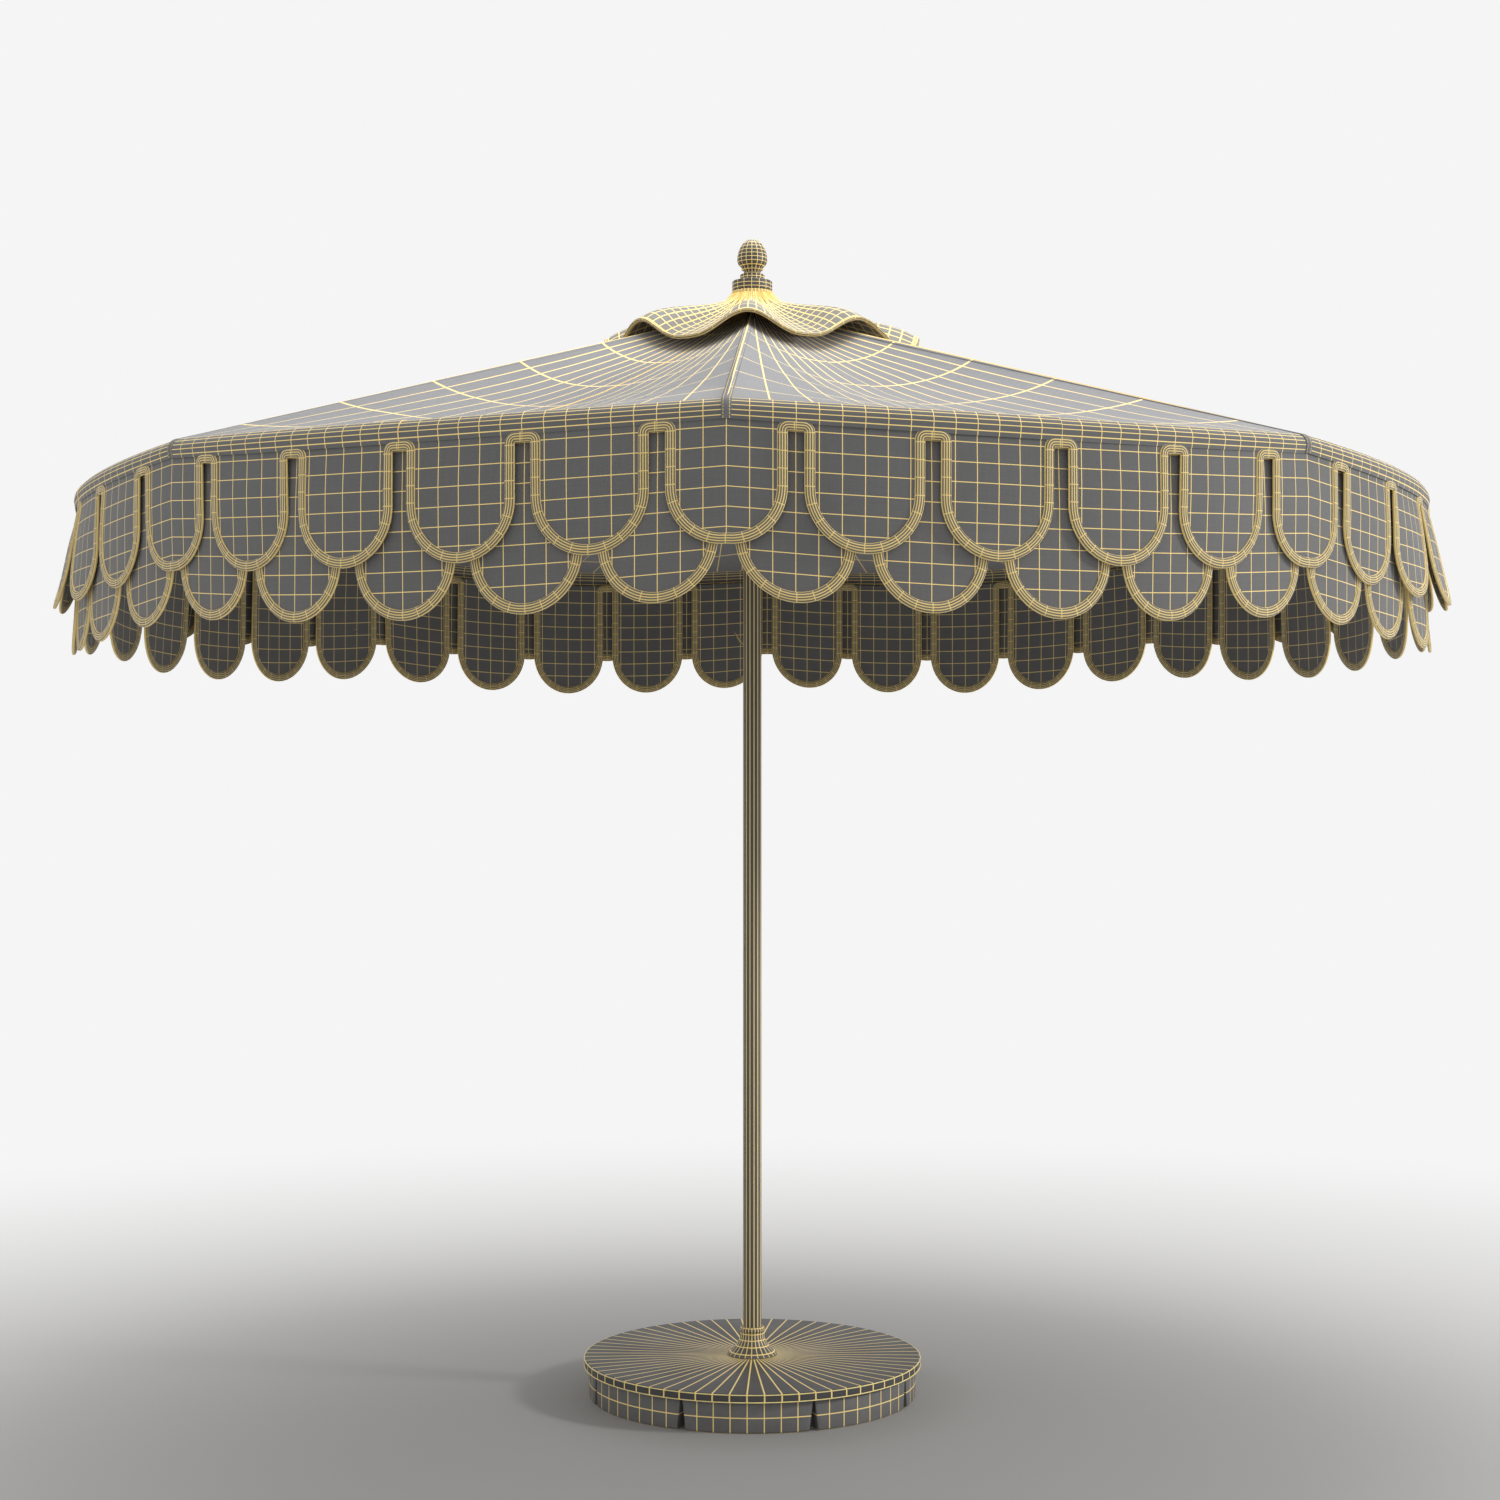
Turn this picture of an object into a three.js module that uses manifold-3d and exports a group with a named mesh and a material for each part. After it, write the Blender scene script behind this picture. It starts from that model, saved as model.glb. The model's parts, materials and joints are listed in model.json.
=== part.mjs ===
// A free-standing garden parasol on a weighted round base, open.
// Eight ribs hang on a pivot ring in the hub at the mast's top, and eight stretchers prop them from a
// runner that slides on the mast. The cloth is held by the ribs, so each rib carries its own sector of
// canopy, of scalloped valance and of wavy cap, from the middle of one gore to the middle of the next.
// Millimetres, +Z up the mast. The origin is the middle of the base's underside, and rib 1 points
// to -Y. A rib's own frame has +X outward along the rib, and each rib is that frame turned about Z.
import * as THREE from "three";
import { mergeVertices } from "three/addons/utils/BufferGeometryUtils.js";
import Module from "manifold-3d";

const wasm = await Module();
wasm.setup();

// ---------------------------------------------------------------- driving dimensions
const RIBS = 8;
const GORE = (2 * Math.PI) / RIBS; // angle from one rib to the next
const FIRST_RIB = -Math.PI / 2;
const GAP = 0.3; // between pieces that touch
const CLOTH = 2.4; // the plain cloth's thickness in this model

const RIM_R = 1500; // canopy's outer edge
const APEX_Z = 2480; // where the ribs' ridges would meet on the mast's axis
const RIM_Z = 2020; // ridge height at the rim
const RIM_DIP = 15; // how much lower the rim is halfway between two ribs
const GORE_SAG = 75; // deepest sag of a gore below its ribs
const SAG_START_R = 70; // the cloth lies taut on the hub inside this radius
const CLOTH_BORE_R = 26;
const ROLL_R = 24; // the rim's rounded edge

const SCALLOPS = 40; // in each of the valance's two layers
const SLOT_TOP_Z = 1976; // top of the slots between scallops, at a rib
const SLOT_TOP_DIP = 23; // how much lower it is halfway between two ribs
const SCALLOP_WIDTH = 196;
const BAND_HEIGHT = 10; // the seam that both layers hang from
const SEAM_GAP = 2; // between the canopy's lower edge and that seam
const BAND_R = [1482, 1498];
const OUTER_LAYER = { topR: 1494, lowR: 1539, drop: 197, extraDip: 2, shift: 0 };
const INNER_LAYER = { topR: 1485, lowR: 1496, drop: 284, extraDip: 9, shift: 0.5 };

const CAP_R = [49.5, 342];
const CAP_NECK_Z = 2508;
const CAP_CREST_DROP = 108; // neck to the edge over a rib
const CAP_TROUGH_DROP = 158; // neck to the edge between two ribs

const MAST_R = 21;
const MAST_WALL = 2;
const MAST_Z = [7.4, 2500];

const PIVOT_R = 45; // the hub's and the runner's pivots stand this far from the mast's axis
const RIB_DROP = 19; // rib's middle line under the cloth
const RIB_WIDTH = 12;
const RIB_HALF_DEPTH = 8;
const RIB_TIP_R = 1474;
const ARM = 620; // hub pivot to stretcher pivot, and the stretcher's own length
const STRETCHER_HALF_DEPTH = 6;
const CHEEK_HALF_DEPTH = 7.5;
const CHEEK = [6.6, 9.2]; // inner and outer face of a fork cheek
const FORK_LENGTH = 112;
const WIRE_R = 3;
const WIRE_HOLE_R = 3.4;
const RIVET_R = 3.7;
const RIVET_HOLE_R = 4.3;

const BASE_R = 372;
const BASE_TOP_Z = 86.5;
const COVER_R = 382;
const COVER_LIP = 19;
const COVER_SHEET = 4.5;
const NOTCH = { low: 24, high: 4, height: 65, depth: 32 };
const SOCKET_R = [21.5, 25];
const SOCKET_TOP_Z = 138;
const FLANGE = { r: 60, low: 1.5, high: 7 };
const COLLAR_TOP_Z = 150;
const COLLAR_FLARE_R = 56.5;
const COLLAR_NECK_R = 27;
const SCREW_R = 4;
const SCREW_HOLE_R = 4.3;
const COLLAR_SCREW_Z = 120;
const COLLAR_SCREW_AZIMUTH = Math.PI / 2;

const slope = (APEX_Z - RIM_Z) / RIM_R;
const ribAngle = Math.atan(slope); // below the horizontal
const ribLineZ = (r) => APEX_Z - RIB_DROP / Math.cos(ribAngle) - slope * r;
const hubPivotZ = ribLineZ(PIVOT_R);
const runnerPivotZ = hubPivotZ - 2 * ARM * Math.sin(ribAngle);

// ---------------------------------------------------------------- small helpers
const v2 = (x, y) => new THREE.Vector2(x, y);
const lerp = THREE.MathUtils.lerp;

// A closed geometry as a solid with its faces pointing out.
function solidOf(geometry) {
  const loose = geometry.index ? geometry.toNonIndexed() : geometry;
  const bare = new THREE.BufferGeometry();
  bare.setAttribute("position", loose.getAttribute("position"));
  const merged = mergeVertices(bare, 1e-3);
  const index = merged.index.array;
  const triVerts = [];
  for (let i = 0; i < index.length; i += 3) {
    const [a, b, c] = [index[i], index[i + 1], index[i + 2]];
    if (a !== b && b !== c && c !== a) triVerts.push(a, b, c);
  }
  const make = (list) =>
    new wasm.Manifold(
      new wasm.Mesh({
        numProp: 3,
        vertProperties: merged.attributes.position.array,
        triVerts: new Uint32Array(list),
      }),
    );
  const made = make(triVerts);
  return made.volume() > 0 ? made : make(triVerts.reverse());
}

function geometryOf(solid) {
  const mesh = solid.getMesh();
  const geometry = new THREE.BufferGeometry();
  geometry.setAttribute("position", new THREE.BufferAttribute(mesh.vertProperties, 3));
  geometry.setIndex(new THREE.BufferAttribute(mesh.triVerts, 1));
  return geometry;
}

// A body of revolution about Z from [radius, height] points.
function turned(points, segments) {
  const geometry = new THREE.LatheGeometry(points.map(([r, z]) => v2(r, z)), segments);
  return geometry.rotateX(Math.PI / 2);
}

// A ring of revolution: its outline closes on itself.
const turnedRing = (points, segments) => turned([...points, points[0]], segments);

// A round bar along +X from x0 to x1.
function barAlongX(radius, x0, x1, segments) {
  const bar = new THREE.CylinderGeometry(radius, radius, x1 - x0, segments);
  return bar.rotateZ(Math.PI / 2).translate((x0 + x1) / 2, 0, 0);
}

// An upright outline in a rib's X-Z plane, thickened evenly both ways along Y.
function upright(shape, thickness) {
  const geometry = new THREE.ExtrudeGeometry(shape, {
    depth: thickness,
    bevelEnabled: false,
    curveSegments: 4,
  });
  return geometry.translate(0, 0, -thickness / 2).rotateX(Math.PI / 2);
}

// A thin block whose vertices stand at place(u, v, w), each from 0 to 1, with w through its wall. Both
// faces split their cells along the same diagonal, so a bent wall never crosses itself.
function shapedBlock(across, along, place) {
  const positions = [];
  const addQuad = ([a, b, c, d], inward) => {
    const corners = inward ? [c, b, a, d, c, a] : [a, b, c, a, c, d];
    for (const corner of corners) positions.push(...corner);
  };
  const at = (i, j, w) => place(i / across, j / along, w);
  for (let i = 0; i < across; i++) {
    for (let j = 0; j < along; j++) {
      for (const w of [0, 1]) {
        const cell = [at(i, j, w), at(i + 1, j, w), at(i + 1, j + 1, w), at(i, j + 1, w)];
        addQuad(i < across / 2 ? cell : [...cell.slice(1), cell[0]], w === 0);
      }
    }
    for (const j of [0, along]) {
      addQuad([at(i, j, 0), at(i + 1, j, 0), at(i + 1, j, 1), at(i, j, 1)], j === along);
    }
  }
  for (let j = 0; j < along; j++) {
    for (const i of [0, across]) {
      addQuad([at(i, j + 1, 0), at(i, j, 0), at(i, j, 1), at(i, j + 1, 1)], i === across);
    }
  }
  const geometry = new THREE.BufferGeometry();
  geometry.setAttribute("position", new THREE.Float32BufferAttribute(positions, 3));
  return geometry;
}

const polar = (r, angle, z) => [r * Math.cos(angle), r * Math.sin(angle), z];

// 1 at a rib, 0 halfway between two ribs.
const ribNearness = (off) => 1 - Math.abs(off) / (GORE / 2);
const betweenRibs = (off) => 1 - ribNearness(off) ** 2;

// The angle at which a sector ends at radius r, so that neighbours keep their gap.
const sectorEdge = (r) => GORE / 2 - Math.asin(GAP / 2 / r);

const group = new THREE.Group();
const materials = {
  canopyCloth: { color: 0xa9a9a6, roughness: 0.9, metalness: 0 },
  valanceCloth: { color: 0x6c6c6a, roughness: 0.9, metalness: 0 },
  capCloth: { color: 0x8c8b86, roughness: 0.9, metalness: 0 },
  paintedSteel: { color: 0x4a4a48, roughness: 0.45, metalness: 0.3 },
  hubCasting: { color: 0x3c3c3a, roughness: 0.5, metalness: 0.2 },
  baseBody: { color: 0x565654, roughness: 0.6, metalness: 0 },
  plating: { color: 0xb9b6ac, roughness: 0.3, metalness: 1 },
  knob: { color: 0x2e2e2d, roughness: 0.6, metalness: 0 },
};

function add(name, finish, geometry, parent = group) {
  const material = new THREE.MeshStandardMaterial(materials[finish]);
  const mesh = new THREE.Mesh(geometryOf(solidOf(geometry)), material);
  mesh.name = name;
  parent.add(mesh);
  return mesh;
}

// ---------------------------------------------------------------- base
function baseWeight() {
  const ring = solidOf(
    turnedRing(
      [
        [FLANGE.r + 1, 0],
        [BASE_R - 3, 0],
        [BASE_R, 3],
        [BASE_R, BASE_TOP_Z - COVER_SHEET - GAP],
        [SOCKET_R[1] + GAP, BASE_TOP_Z - COVER_SHEET - GAP],
        [SOCKET_R[1] + GAP, FLANGE.high + GAP],
        [FLANGE.r + 1, FLANGE.high + GAP],
      ],
      32,
    ),
  );
  const notch = new THREE.Shape([
    v2(-NOTCH.low / 2, -1),
    v2(NOTCH.low / 2, -1),
    v2(NOTCH.high / 2, NOTCH.height),
    v2(-NOTCH.high / 2, NOTCH.height),
  ]);
  let cut = ring;
  for (let i = 0; i < RIBS; i++) {
    const wedge = new THREE.ExtrudeGeometry(notch, { depth: NOTCH.depth + 5, bevelEnabled: false });
    wedge.rotateX(Math.PI / 2).rotateZ(Math.PI / 2); // outline across, its height up, depth outward
    wedge.translate(BASE_R - NOTCH.depth, 0, 0);
    wedge.rotateZ(FIRST_RIB + (i + 0.5) * GORE);
    cut = cut.subtract(solidOf(wedge));
  }
  return geometryOf(cut);
}

const baseCover = () =>
  turnedRing(
    [
      [SOCKET_R[1] + 0.6, BASE_TOP_Z - COVER_SHEET],
      [BASE_R + 0.5, BASE_TOP_Z - COVER_SHEET],
      [BASE_R + 0.5, BASE_TOP_Z - COVER_LIP],
      [COVER_R - 2.5, BASE_TOP_Z - COVER_LIP],
      [COVER_R, BASE_TOP_Z - COVER_LIP + 2.5],
      [COVER_R, BASE_TOP_Z - 3],
      [COVER_R - 3, BASE_TOP_Z],
      [SOCKET_R[1] + 0.6, BASE_TOP_Z],
    ],
    32,
  );

// The hole of the collar's clamping screw, at its azimuth and height.
function screwHole(x0, x1) {
  const hole = barAlongX(SCREW_HOLE_R, x0, x1, 12);
  return solidOf(hole.rotateZ(COLLAR_SCREW_AZIMUTH).translate(0, 0, COLLAR_SCREW_Z));
}

function socketTube() {
  const tube = solidOf(
    turned(
      [
        [0, FLANGE.low],
        [FLANGE.r, FLANGE.low],
        [FLANGE.r, FLANGE.high],
        [SOCKET_R[1], FLANGE.high],
        [SOCKET_R[1], SOCKET_TOP_Z],
        [SOCKET_R[0], SOCKET_TOP_Z],
        [SOCKET_R[0], FLANGE.high],
        [0, FLANGE.high],
      ],
      24,
    ),
  );
  return geometryOf(tube.subtract(screwHole(10, 40)));
}

function mastCollar() {
  const flare = [];
  const flareTop = COLLAR_TOP_Z - 12;
  const flareLow = BASE_TOP_Z + 3;
  for (let i = 0; i <= 5; i++) {
    const t = i / 5;
    const r = COLLAR_NECK_R + (COLLAR_FLARE_R - COLLAR_NECK_R) * (1 - t) ** 2.2;
    flare.push([r, lerp(flareLow, flareTop, t)]);
  }
  const bell = solidOf(
    turnedRing(
      [
        [SOCKET_R[1] + 0.4, BASE_TOP_Z + GAP],
        [COLLAR_FLARE_R, BASE_TOP_Z + GAP],
        ...flare,
        [COLLAR_NECK_R + 1, COLLAR_TOP_Z - 9],
        [COLLAR_NECK_R + 1, COLLAR_TOP_Z - 1.5],
        [COLLAR_NECK_R - 0.5, COLLAR_TOP_Z],
        [MAST_R + 0.5, COLLAR_TOP_Z],
        [MAST_R + 0.5, SOCKET_TOP_Z + 0.5],
        [SOCKET_R[1] + 0.4, SOCKET_TOP_Z + 0.5],
      ],
      24,
    ),
  );
  return geometryOf(bell.subtract(screwHole(15, 60)));
}

// A thumb screw along +X: its shank starts at x0 and its round head spans the last stretch.
function thumbScrew(shankR, headR, x0, headX0, headX1) {
  const chamfer = 2;
  const points = [
    [0, x0],
    [shankR, x0],
    [shankR, headX0],
    [headR - chamfer, headX0],
    [headR, headX0 + chamfer],
    [headR, headX1 - chamfer],
    [headR - chamfer, headX1],
    [0, headX1],
  ];
  return turned(points, 12).rotateY(Math.PI / 2);
}

// ---------------------------------------------------------------- mast, hub, finial
const mast = () =>
  turnedRing(
    [
      [MAST_R - MAST_WALL, MAST_Z[0]],
      [MAST_R, MAST_Z[0]],
      [MAST_R, MAST_Z[1]],
      [MAST_R - MAST_WALL, MAST_Z[1]],
    ],
    32,
  );

// An eight-sided ring of round wire with a straight side across each rib.
function pivotRing(wireR) {
  const cornerR = PIVOT_R / Math.cos(GORE / 2);
  const section = [];
  for (let i = 0; i < 8; i++) {
    const a = (i / 8) * 2 * Math.PI;
    const r = cornerR + (wireR * Math.cos(a)) / Math.cos(GORE / 2);
    section.push([r, hubPivotZ + wireR * Math.sin(a)]);
  }
  return turnedRing(section, RIBS).rotateZ(GORE / 2);
}

// A toothed ring: a turned body with one slot for each rib.
function slotted(body, slotWidth, slotR, z0, z1) {
  let cut = body;
  for (let i = 0; i < RIBS; i++) {
    const slot = new THREE.BoxGeometry(60, slotWidth, z1 - z0);
    slot.translate(slotR + 30, 0, (z0 + z1) / 2).rotateZ(i * GORE);
    cut = cut.subtract(solidOf(slot));
  }
  return cut;
}

function hub() {
  const toothR = 58;
  const spigotR = CLOTH_BORE_R - 1.5;
  const top = (r) => APEX_Z - slope * r - CLOTH / 2 - 2.5;
  const body = solidOf(
    turnedRing(
      [
        [MAST_R + GAP, hubPivotZ - 32],
        [29, hubPivotZ - 32],
        [30, hubPivotZ - 14],
        [toothR - 4, hubPivotZ - 11],
        [toothR, hubPivotZ - 7],
        [toothR, top(toothR)],
        [spigotR, top(spigotR)],
        [spigotR, MAST_Z[1]],
        [MAST_R + GAP, MAST_Z[1]],
      ],
      24,
    ),
  );
  const toothed = slotted(body, RIB_WIDTH + 1.6, 35, hubPivotZ - 40, hubPivotZ + 30);
  return geometryOf(toothed.subtract(solidOf(pivotRing(WIRE_HOLE_R))));
}

// The gathered cloth that is tied round the hub's spigot under the finial.
const capNeck = () =>
  turnedRing(
    [
      [CLOTH_BORE_R - 1, 2490],
      [44, 2490],
      [48, 2498],
      [48.5, 2508],
      [47, 2517],
      [44, 2519.6],
      [CLOTH_BORE_R - 1, 2519.6],
    ],
    24,
  );

function finial() {
  const egg = [];
  const [widestR, widestZ, topZ] = [34.5, 2592, 2641];
  for (let i = 1; i <= 5; i++) {
    const a = (i / 6) * (Math.PI / 2);
    egg.push([widestR * Math.cos(a), widestZ + (topZ - widestZ) * Math.sin(a)]);
  }
  return turned(
    [
      [0, 2470],
      [MAST_R - MAST_WALL - 0.5, 2470],
      [MAST_R - MAST_WALL - 0.5, 2520],
      [44, 2520],
      [46, 2522],
      [46, 2541],
      [44, 2543],
      [30, 2545],
      [28, 2547],
      [28, 2557],
      [26, 2559],
      [19, 2562],
      [19, 2566],
      [26, 2571],
      [32, 2580],
      [widestR, widestZ],
      ...egg,
      [0, topZ],
    ],
    16,
  );
}

// ---------------------------------------------------------------- runner
const RUNNER = { discR: 56, sleeveR: 30, up: 12, down: 12, skirt: 56, slotR: 34 };
const RUNNER_KNOB = { drop: 36, bossR: 8, boss: [24, 56], head: [58, 78], headR: 14 };
const runnerKnobAzimuth = FIRST_RIB + 4.5 * GORE;
const runnerKnobZ = runnerPivotZ - RUNNER_KNOB.drop;

function runner() {
  const z = runnerPivotZ;
  const bore = MAST_R + 0.5;
  const body = solidOf(
    turnedRing(
      [
        [bore, z - RUNNER.skirt],
        [RUNNER.sleeveR - 2, z - RUNNER.skirt],
        [RUNNER.sleeveR, z - RUNNER.skirt + 2],
        [RUNNER.sleeveR, z - RUNNER.down],
        [RUNNER.discR - 3, z - RUNNER.down],
        [RUNNER.discR, z - RUNNER.down + 3],
        [RUNNER.discR, z + RUNNER.up - 3],
        [RUNNER.discR - 3, z + RUNNER.up],
        [RUNNER.sleeveR, z + RUNNER.up],
        [RUNNER.sleeveR, z + RUNNER.up + 8],
        [bore, z + RUNNER.up + 8],
      ],
      24,
    ),
  );
  const toothed = slotted(body, RIB_WIDTH + 2.6, RUNNER.slotR, z - 20, z + 30);
  const boss = barAlongX(RUNNER_KNOB.bossR, ...RUNNER_KNOB.boss, 12);
  const hole = barAlongX(SCREW_HOLE_R, 10, 70, 12);
  for (const bar of [boss, hole]) bar.rotateZ(runnerKnobAzimuth).translate(0, 0, runnerKnobZ);
  return geometryOf(toothed.add(solidOf(boss)).subtract(solidOf(hole)));
}

// ---------------------------------------------------------------- rib and stretcher, in a rib's frame
// A bar with a round eye at its start, running from (0, 0) along +X.
function eyeBar(length, halfDepth, holes) {
  const shape = new THREE.Shape();
  shape.moveTo(0, -halfDepth);
  shape.lineTo(length, -halfDepth);
  shape.lineTo(length, halfDepth);
  shape.lineTo(0, halfDepth);
  shape.absarc(0, 0, halfDepth, Math.PI / 2, (3 * Math.PI) / 2, false);
  for (const [x, radius] of holes) {
    const hole = new THREE.Path();
    hole.absarc(x, 0, radius, 0, 2 * Math.PI, false);
    shape.holes.push(hole);
  }
  return shape;
}

function rib() {
  const length = (RIB_TIP_R - PIVOT_R) / Math.cos(ribAngle);
  const holes = [[0, WIRE_HOLE_R], [ARM, RIVET_HOLE_R]];
  const bar = upright(eyeBar(length, RIB_HALF_DEPTH, holes), RIB_WIDTH);
  return bar.rotateY(ribAngle).translate(PIVOT_R, 0, hubPivotZ);
}

// The stretcher runs from its eye in the runner up to a fork that straddles the rib.
function stretcher() {
  const forkStart = ARM - FORK_LENGTH;
  const bar = upright(eyeBar(forkStart + 10, STRETCHER_HALF_DEPTH, [[0, WIRE_HOLE_R]]), RIB_WIDTH);
  const block = new THREE.BoxGeometry(14, 2 * CHEEK[1], 2 * CHEEK_HALF_DEPTH);
  block.translate(forkStart + 5, 0, 0);
  let made = solidOf(bar).add(solidOf(block));
  for (const side of [-1, 1]) {
    const outline = eyeBar(FORK_LENGTH - 5, CHEEK_HALF_DEPTH, [[0, RIVET_HOLE_R]]);
    const cheek = upright(outline, CHEEK[1] - CHEEK[0]).rotateZ(Math.PI);
    cheek.translate(ARM, (side * (CHEEK[0] + CHEEK[1])) / 2, 0);
    made = made.add(solidOf(cheek));
  }
  return geometryOf(made).rotateY(-ribAngle).translate(PIVOT_R, 0, runnerPivotZ);
}

function rivet() {
  const [inner, outer, headR] = [CHEEK[1] + GAP, CHEEK[1] + 3, 7];
  const points = [
    [0, -outer],
    [headR, -outer],
    [headR, -inner],
    [RIVET_R, -inner],
    [RIVET_R, inner],
    [headR, inner],
    [headR, outer],
    [0, outer],
  ];
  const x = PIVOT_R + ARM * Math.cos(ribAngle);
  const z = hubPivotZ - ARM * Math.sin(ribAngle);
  return turned(points, 8).rotateX(Math.PI / 2).translate(x, 0, z);
}

// ---------------------------------------------------------------- cloth, in a rib's frame
function canopyZ(r, off) {
  const rim = APEX_Z - r * (slope + (RIM_DIP / RIM_R) * betweenRibs(off));
  const s = Math.max(0, (r - SAG_START_R) / (RIM_R - SAG_START_R));
  return rim - 4 * GORE_SAG * s * (1 - s) * betweenRibs(off);
}

const slotTopZ = (off) => SLOT_TOP_Z - SLOT_TOP_DIP * betweenRibs(off);

// The canopy's section at an angle from its rib: [radius, height, angle of the face's normal].
function canopySection(off) {
  const flat = Math.PI / 2 - ribAngle;
  const radii = [CLOTH_BORE_R, SAG_START_R, 260, 500, 780, 1080, 1320];
  const section = radii.map((r) => [r, canopyZ(r, off), flat]);
  const rollStartR = RIM_R - ROLL_R * (1 - Math.sin(ribAngle));
  const centre = [RIM_R - ROLL_R, canopyZ(rollStartR, off) - ROLL_R * Math.cos(ribAngle)];
  for (let i = 0; i <= 2; i++) {
    const a = flat * (1 - i / 2);
    section.push([centre[0] + ROLL_R * Math.cos(a), centre[1] + ROLL_R * Math.sin(a), a]);
  }
  section.push([RIM_R - 3, slotTopZ(off) + BAND_HEIGHT + SEAM_GAP, 0]);
  return section;
}

function canopySector() {
  const along = canopySection(0).length - 1;
  return shapedBlock(6, along, (u, v, w) => {
    const [r0] = canopySection(0)[Math.round(v * along)];
    const off = (2 * u - 1) * sectorEdge(r0);
    const [r, z, normal] = canopySection(off)[Math.round(v * along)];
    const out = (w - 0.5) * CLOTH;
    return polar(r + out * Math.cos(normal), off, z + out * Math.sin(normal));
  });
}

// One scallop of a layer, centred at the angle `at` from its rib.
function scallop(layer, at) {
  const half = SCALLOP_WIDTH / 2;
  const shape = new THREE.Shape();
  shape.moveTo(-half, BAND_HEIGHT / 2);
  shape.lineTo(-half, half - layer.drop);
  shape.absarc(0, half - layer.drop, half, Math.PI, 2 * Math.PI, false);
  shape.lineTo(half, BAND_HEIGHT / 2);
  const geometry = new THREE.ExtrudeGeometry(shape, {
    depth: CLOTH,
    bevelEnabled: false,
    curveSegments: 2,
  });
  const p = geometry.attributes.position;
  for (let i = 0; i < p.count; i++) {
    const fall = Math.max(0, -p.getY(i)) / layer.drop;
    const off = at + p.getX(i) / RIM_R;
    const folded = Math.min(Math.abs(off), GORE - Math.abs(off)); // from the nearest rib
    const r = lerp(layer.topR, layer.lowR, fall) + p.getZ(i) - CLOTH / 2;
    const z = slotTopZ(folded) + p.getY(i) - layer.extraDip * fall * betweenRibs(folded);
    p.setXYZ(i, ...polar(r, off, z));
  }
  return solidOf(geometry);
}

// Both scalloped layers of one sector, hanging from one seam.
function valanceSector() {
  const band = shapedBlock(6, 1, (u, v, w) => {
    const off = (2 * u - 1) * (GORE / 2) * 1.02;
    const folded = Math.min(Math.abs(off), GORE - Math.abs(off));
    return polar(lerp(...BAND_R, w), off, slotTopZ(folded) + v * BAND_HEIGHT);
  });
  const pitch = (2 * Math.PI) / SCALLOPS;
  const perSector = SCALLOPS / RIBS;
  let made = solidOf(band);
  for (const layer of [OUTER_LAYER, INNER_LAYER]) {
    const first = -(perSector - 1) / 2 - layer.shift;
    for (let i = 0; i < perSector + 2 * layer.shift; i++) {
      made = made.add(scallop(layer, (first + i) * pitch));
    }
  }
  const reach = 2000;
  const wedge = new THREE.Shape([
    v2(GAP / 2 / Math.sin(GORE / 2), 0),
    v2(reach, -(reach - GAP / 2 / Math.sin(GORE / 2)) * Math.tan(GORE / 2)),
    v2(reach, (reach - GAP / 2 / Math.sin(GORE / 2)) * Math.tan(GORE / 2)),
  ]);
  const sector = new THREE.ExtrudeGeometry(wedge, { depth: 3000, bevelEnabled: false });
  return geometryOf(made.intersect(solidOf(sector)));
}

// The cap's height: crests over the ribs, troughs between them.
function capZ(r, off) {
  const reach = (r - CAP_R[0]) / (CAP_R[1] - CAP_R[0]);
  const crest = 0.5 + 0.5 * Math.cos(RIBS * off);
  const drop = lerp(CAP_TROUGH_DROP * reach ** 0.75, CAP_CREST_DROP * reach ** 0.62, crest);
  return CAP_NECK_Z - drop;
}

function capSector() {
  const stations = [0, 0.08, 0.25, 0.55, 1];
  const along = stations.length - 1;
  return shapedBlock(6, along, (u, v, w) => {
    const r = lerp(...CAP_R, stations[Math.round(v * along)]);
    const off = (2 * u - 1) * sectorEdge(r);
    return polar(r, off, capZ(r, off) + (w - 0.5) * CLOTH * 1.2);
  });
}

// ---------------------------------------------------------------- assembly
add("base_weight", "baseBody", baseWeight());
add("base_cover", "paintedSteel", baseCover());
add("socket_tube", "paintedSteel", socketTube());
add("mast_collar", "paintedSteel", mastCollar());

const collarScrew = thumbScrew(SCREW_R, 12, MAST_R + 0.5, 41, 53);
const collarScrewMesh = add("collar_screw", "knob", collarScrew);
collarScrewMesh.rotation.z = COLLAR_SCREW_AZIMUTH;
collarScrewMesh.position.z = COLLAR_SCREW_Z;

add("mast", "paintedSteel", mast());
add("hub", "hubCasting", hub());
add("hub_pivot_ring", "plating", pivotRing(WIRE_R));
add("cap_neck", "capCloth", capNeck());
add("finial", "paintedSteel", finial());
add("runner", "hubCasting", runner());

const { head, headR } = RUNNER_KNOB;
const runnerKnob = add("runner_knob", "knob", thumbScrew(SCREW_R, headR, MAST_R + 0.5, ...head));
runnerKnob.rotation.z = runnerKnobAzimuth;
runnerKnob.position.z = runnerKnobZ;

const perRib = {
  rib: ["paintedSteel", rib()],
  stretcher: ["paintedSteel", stretcher()],
  rivet: ["plating", rivet()],
  canopy: ["canopyCloth", canopySector()],
  valance: ["valanceCloth", valanceSector()],
  cap: ["capCloth", capSector()],
};
for (let i = 0; i < RIBS; i++) {
  const ribGroup = new THREE.Group();
  ribGroup.rotation.z = FIRST_RIB + i * GORE;
  group.add(ribGroup);
  for (const [piece, [finish, geometry]] of Object.entries(perRib)) {
    add(`${piece}_${i + 1}`, finish, geometry, ribGroup);
  }
}

export default group;
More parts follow.
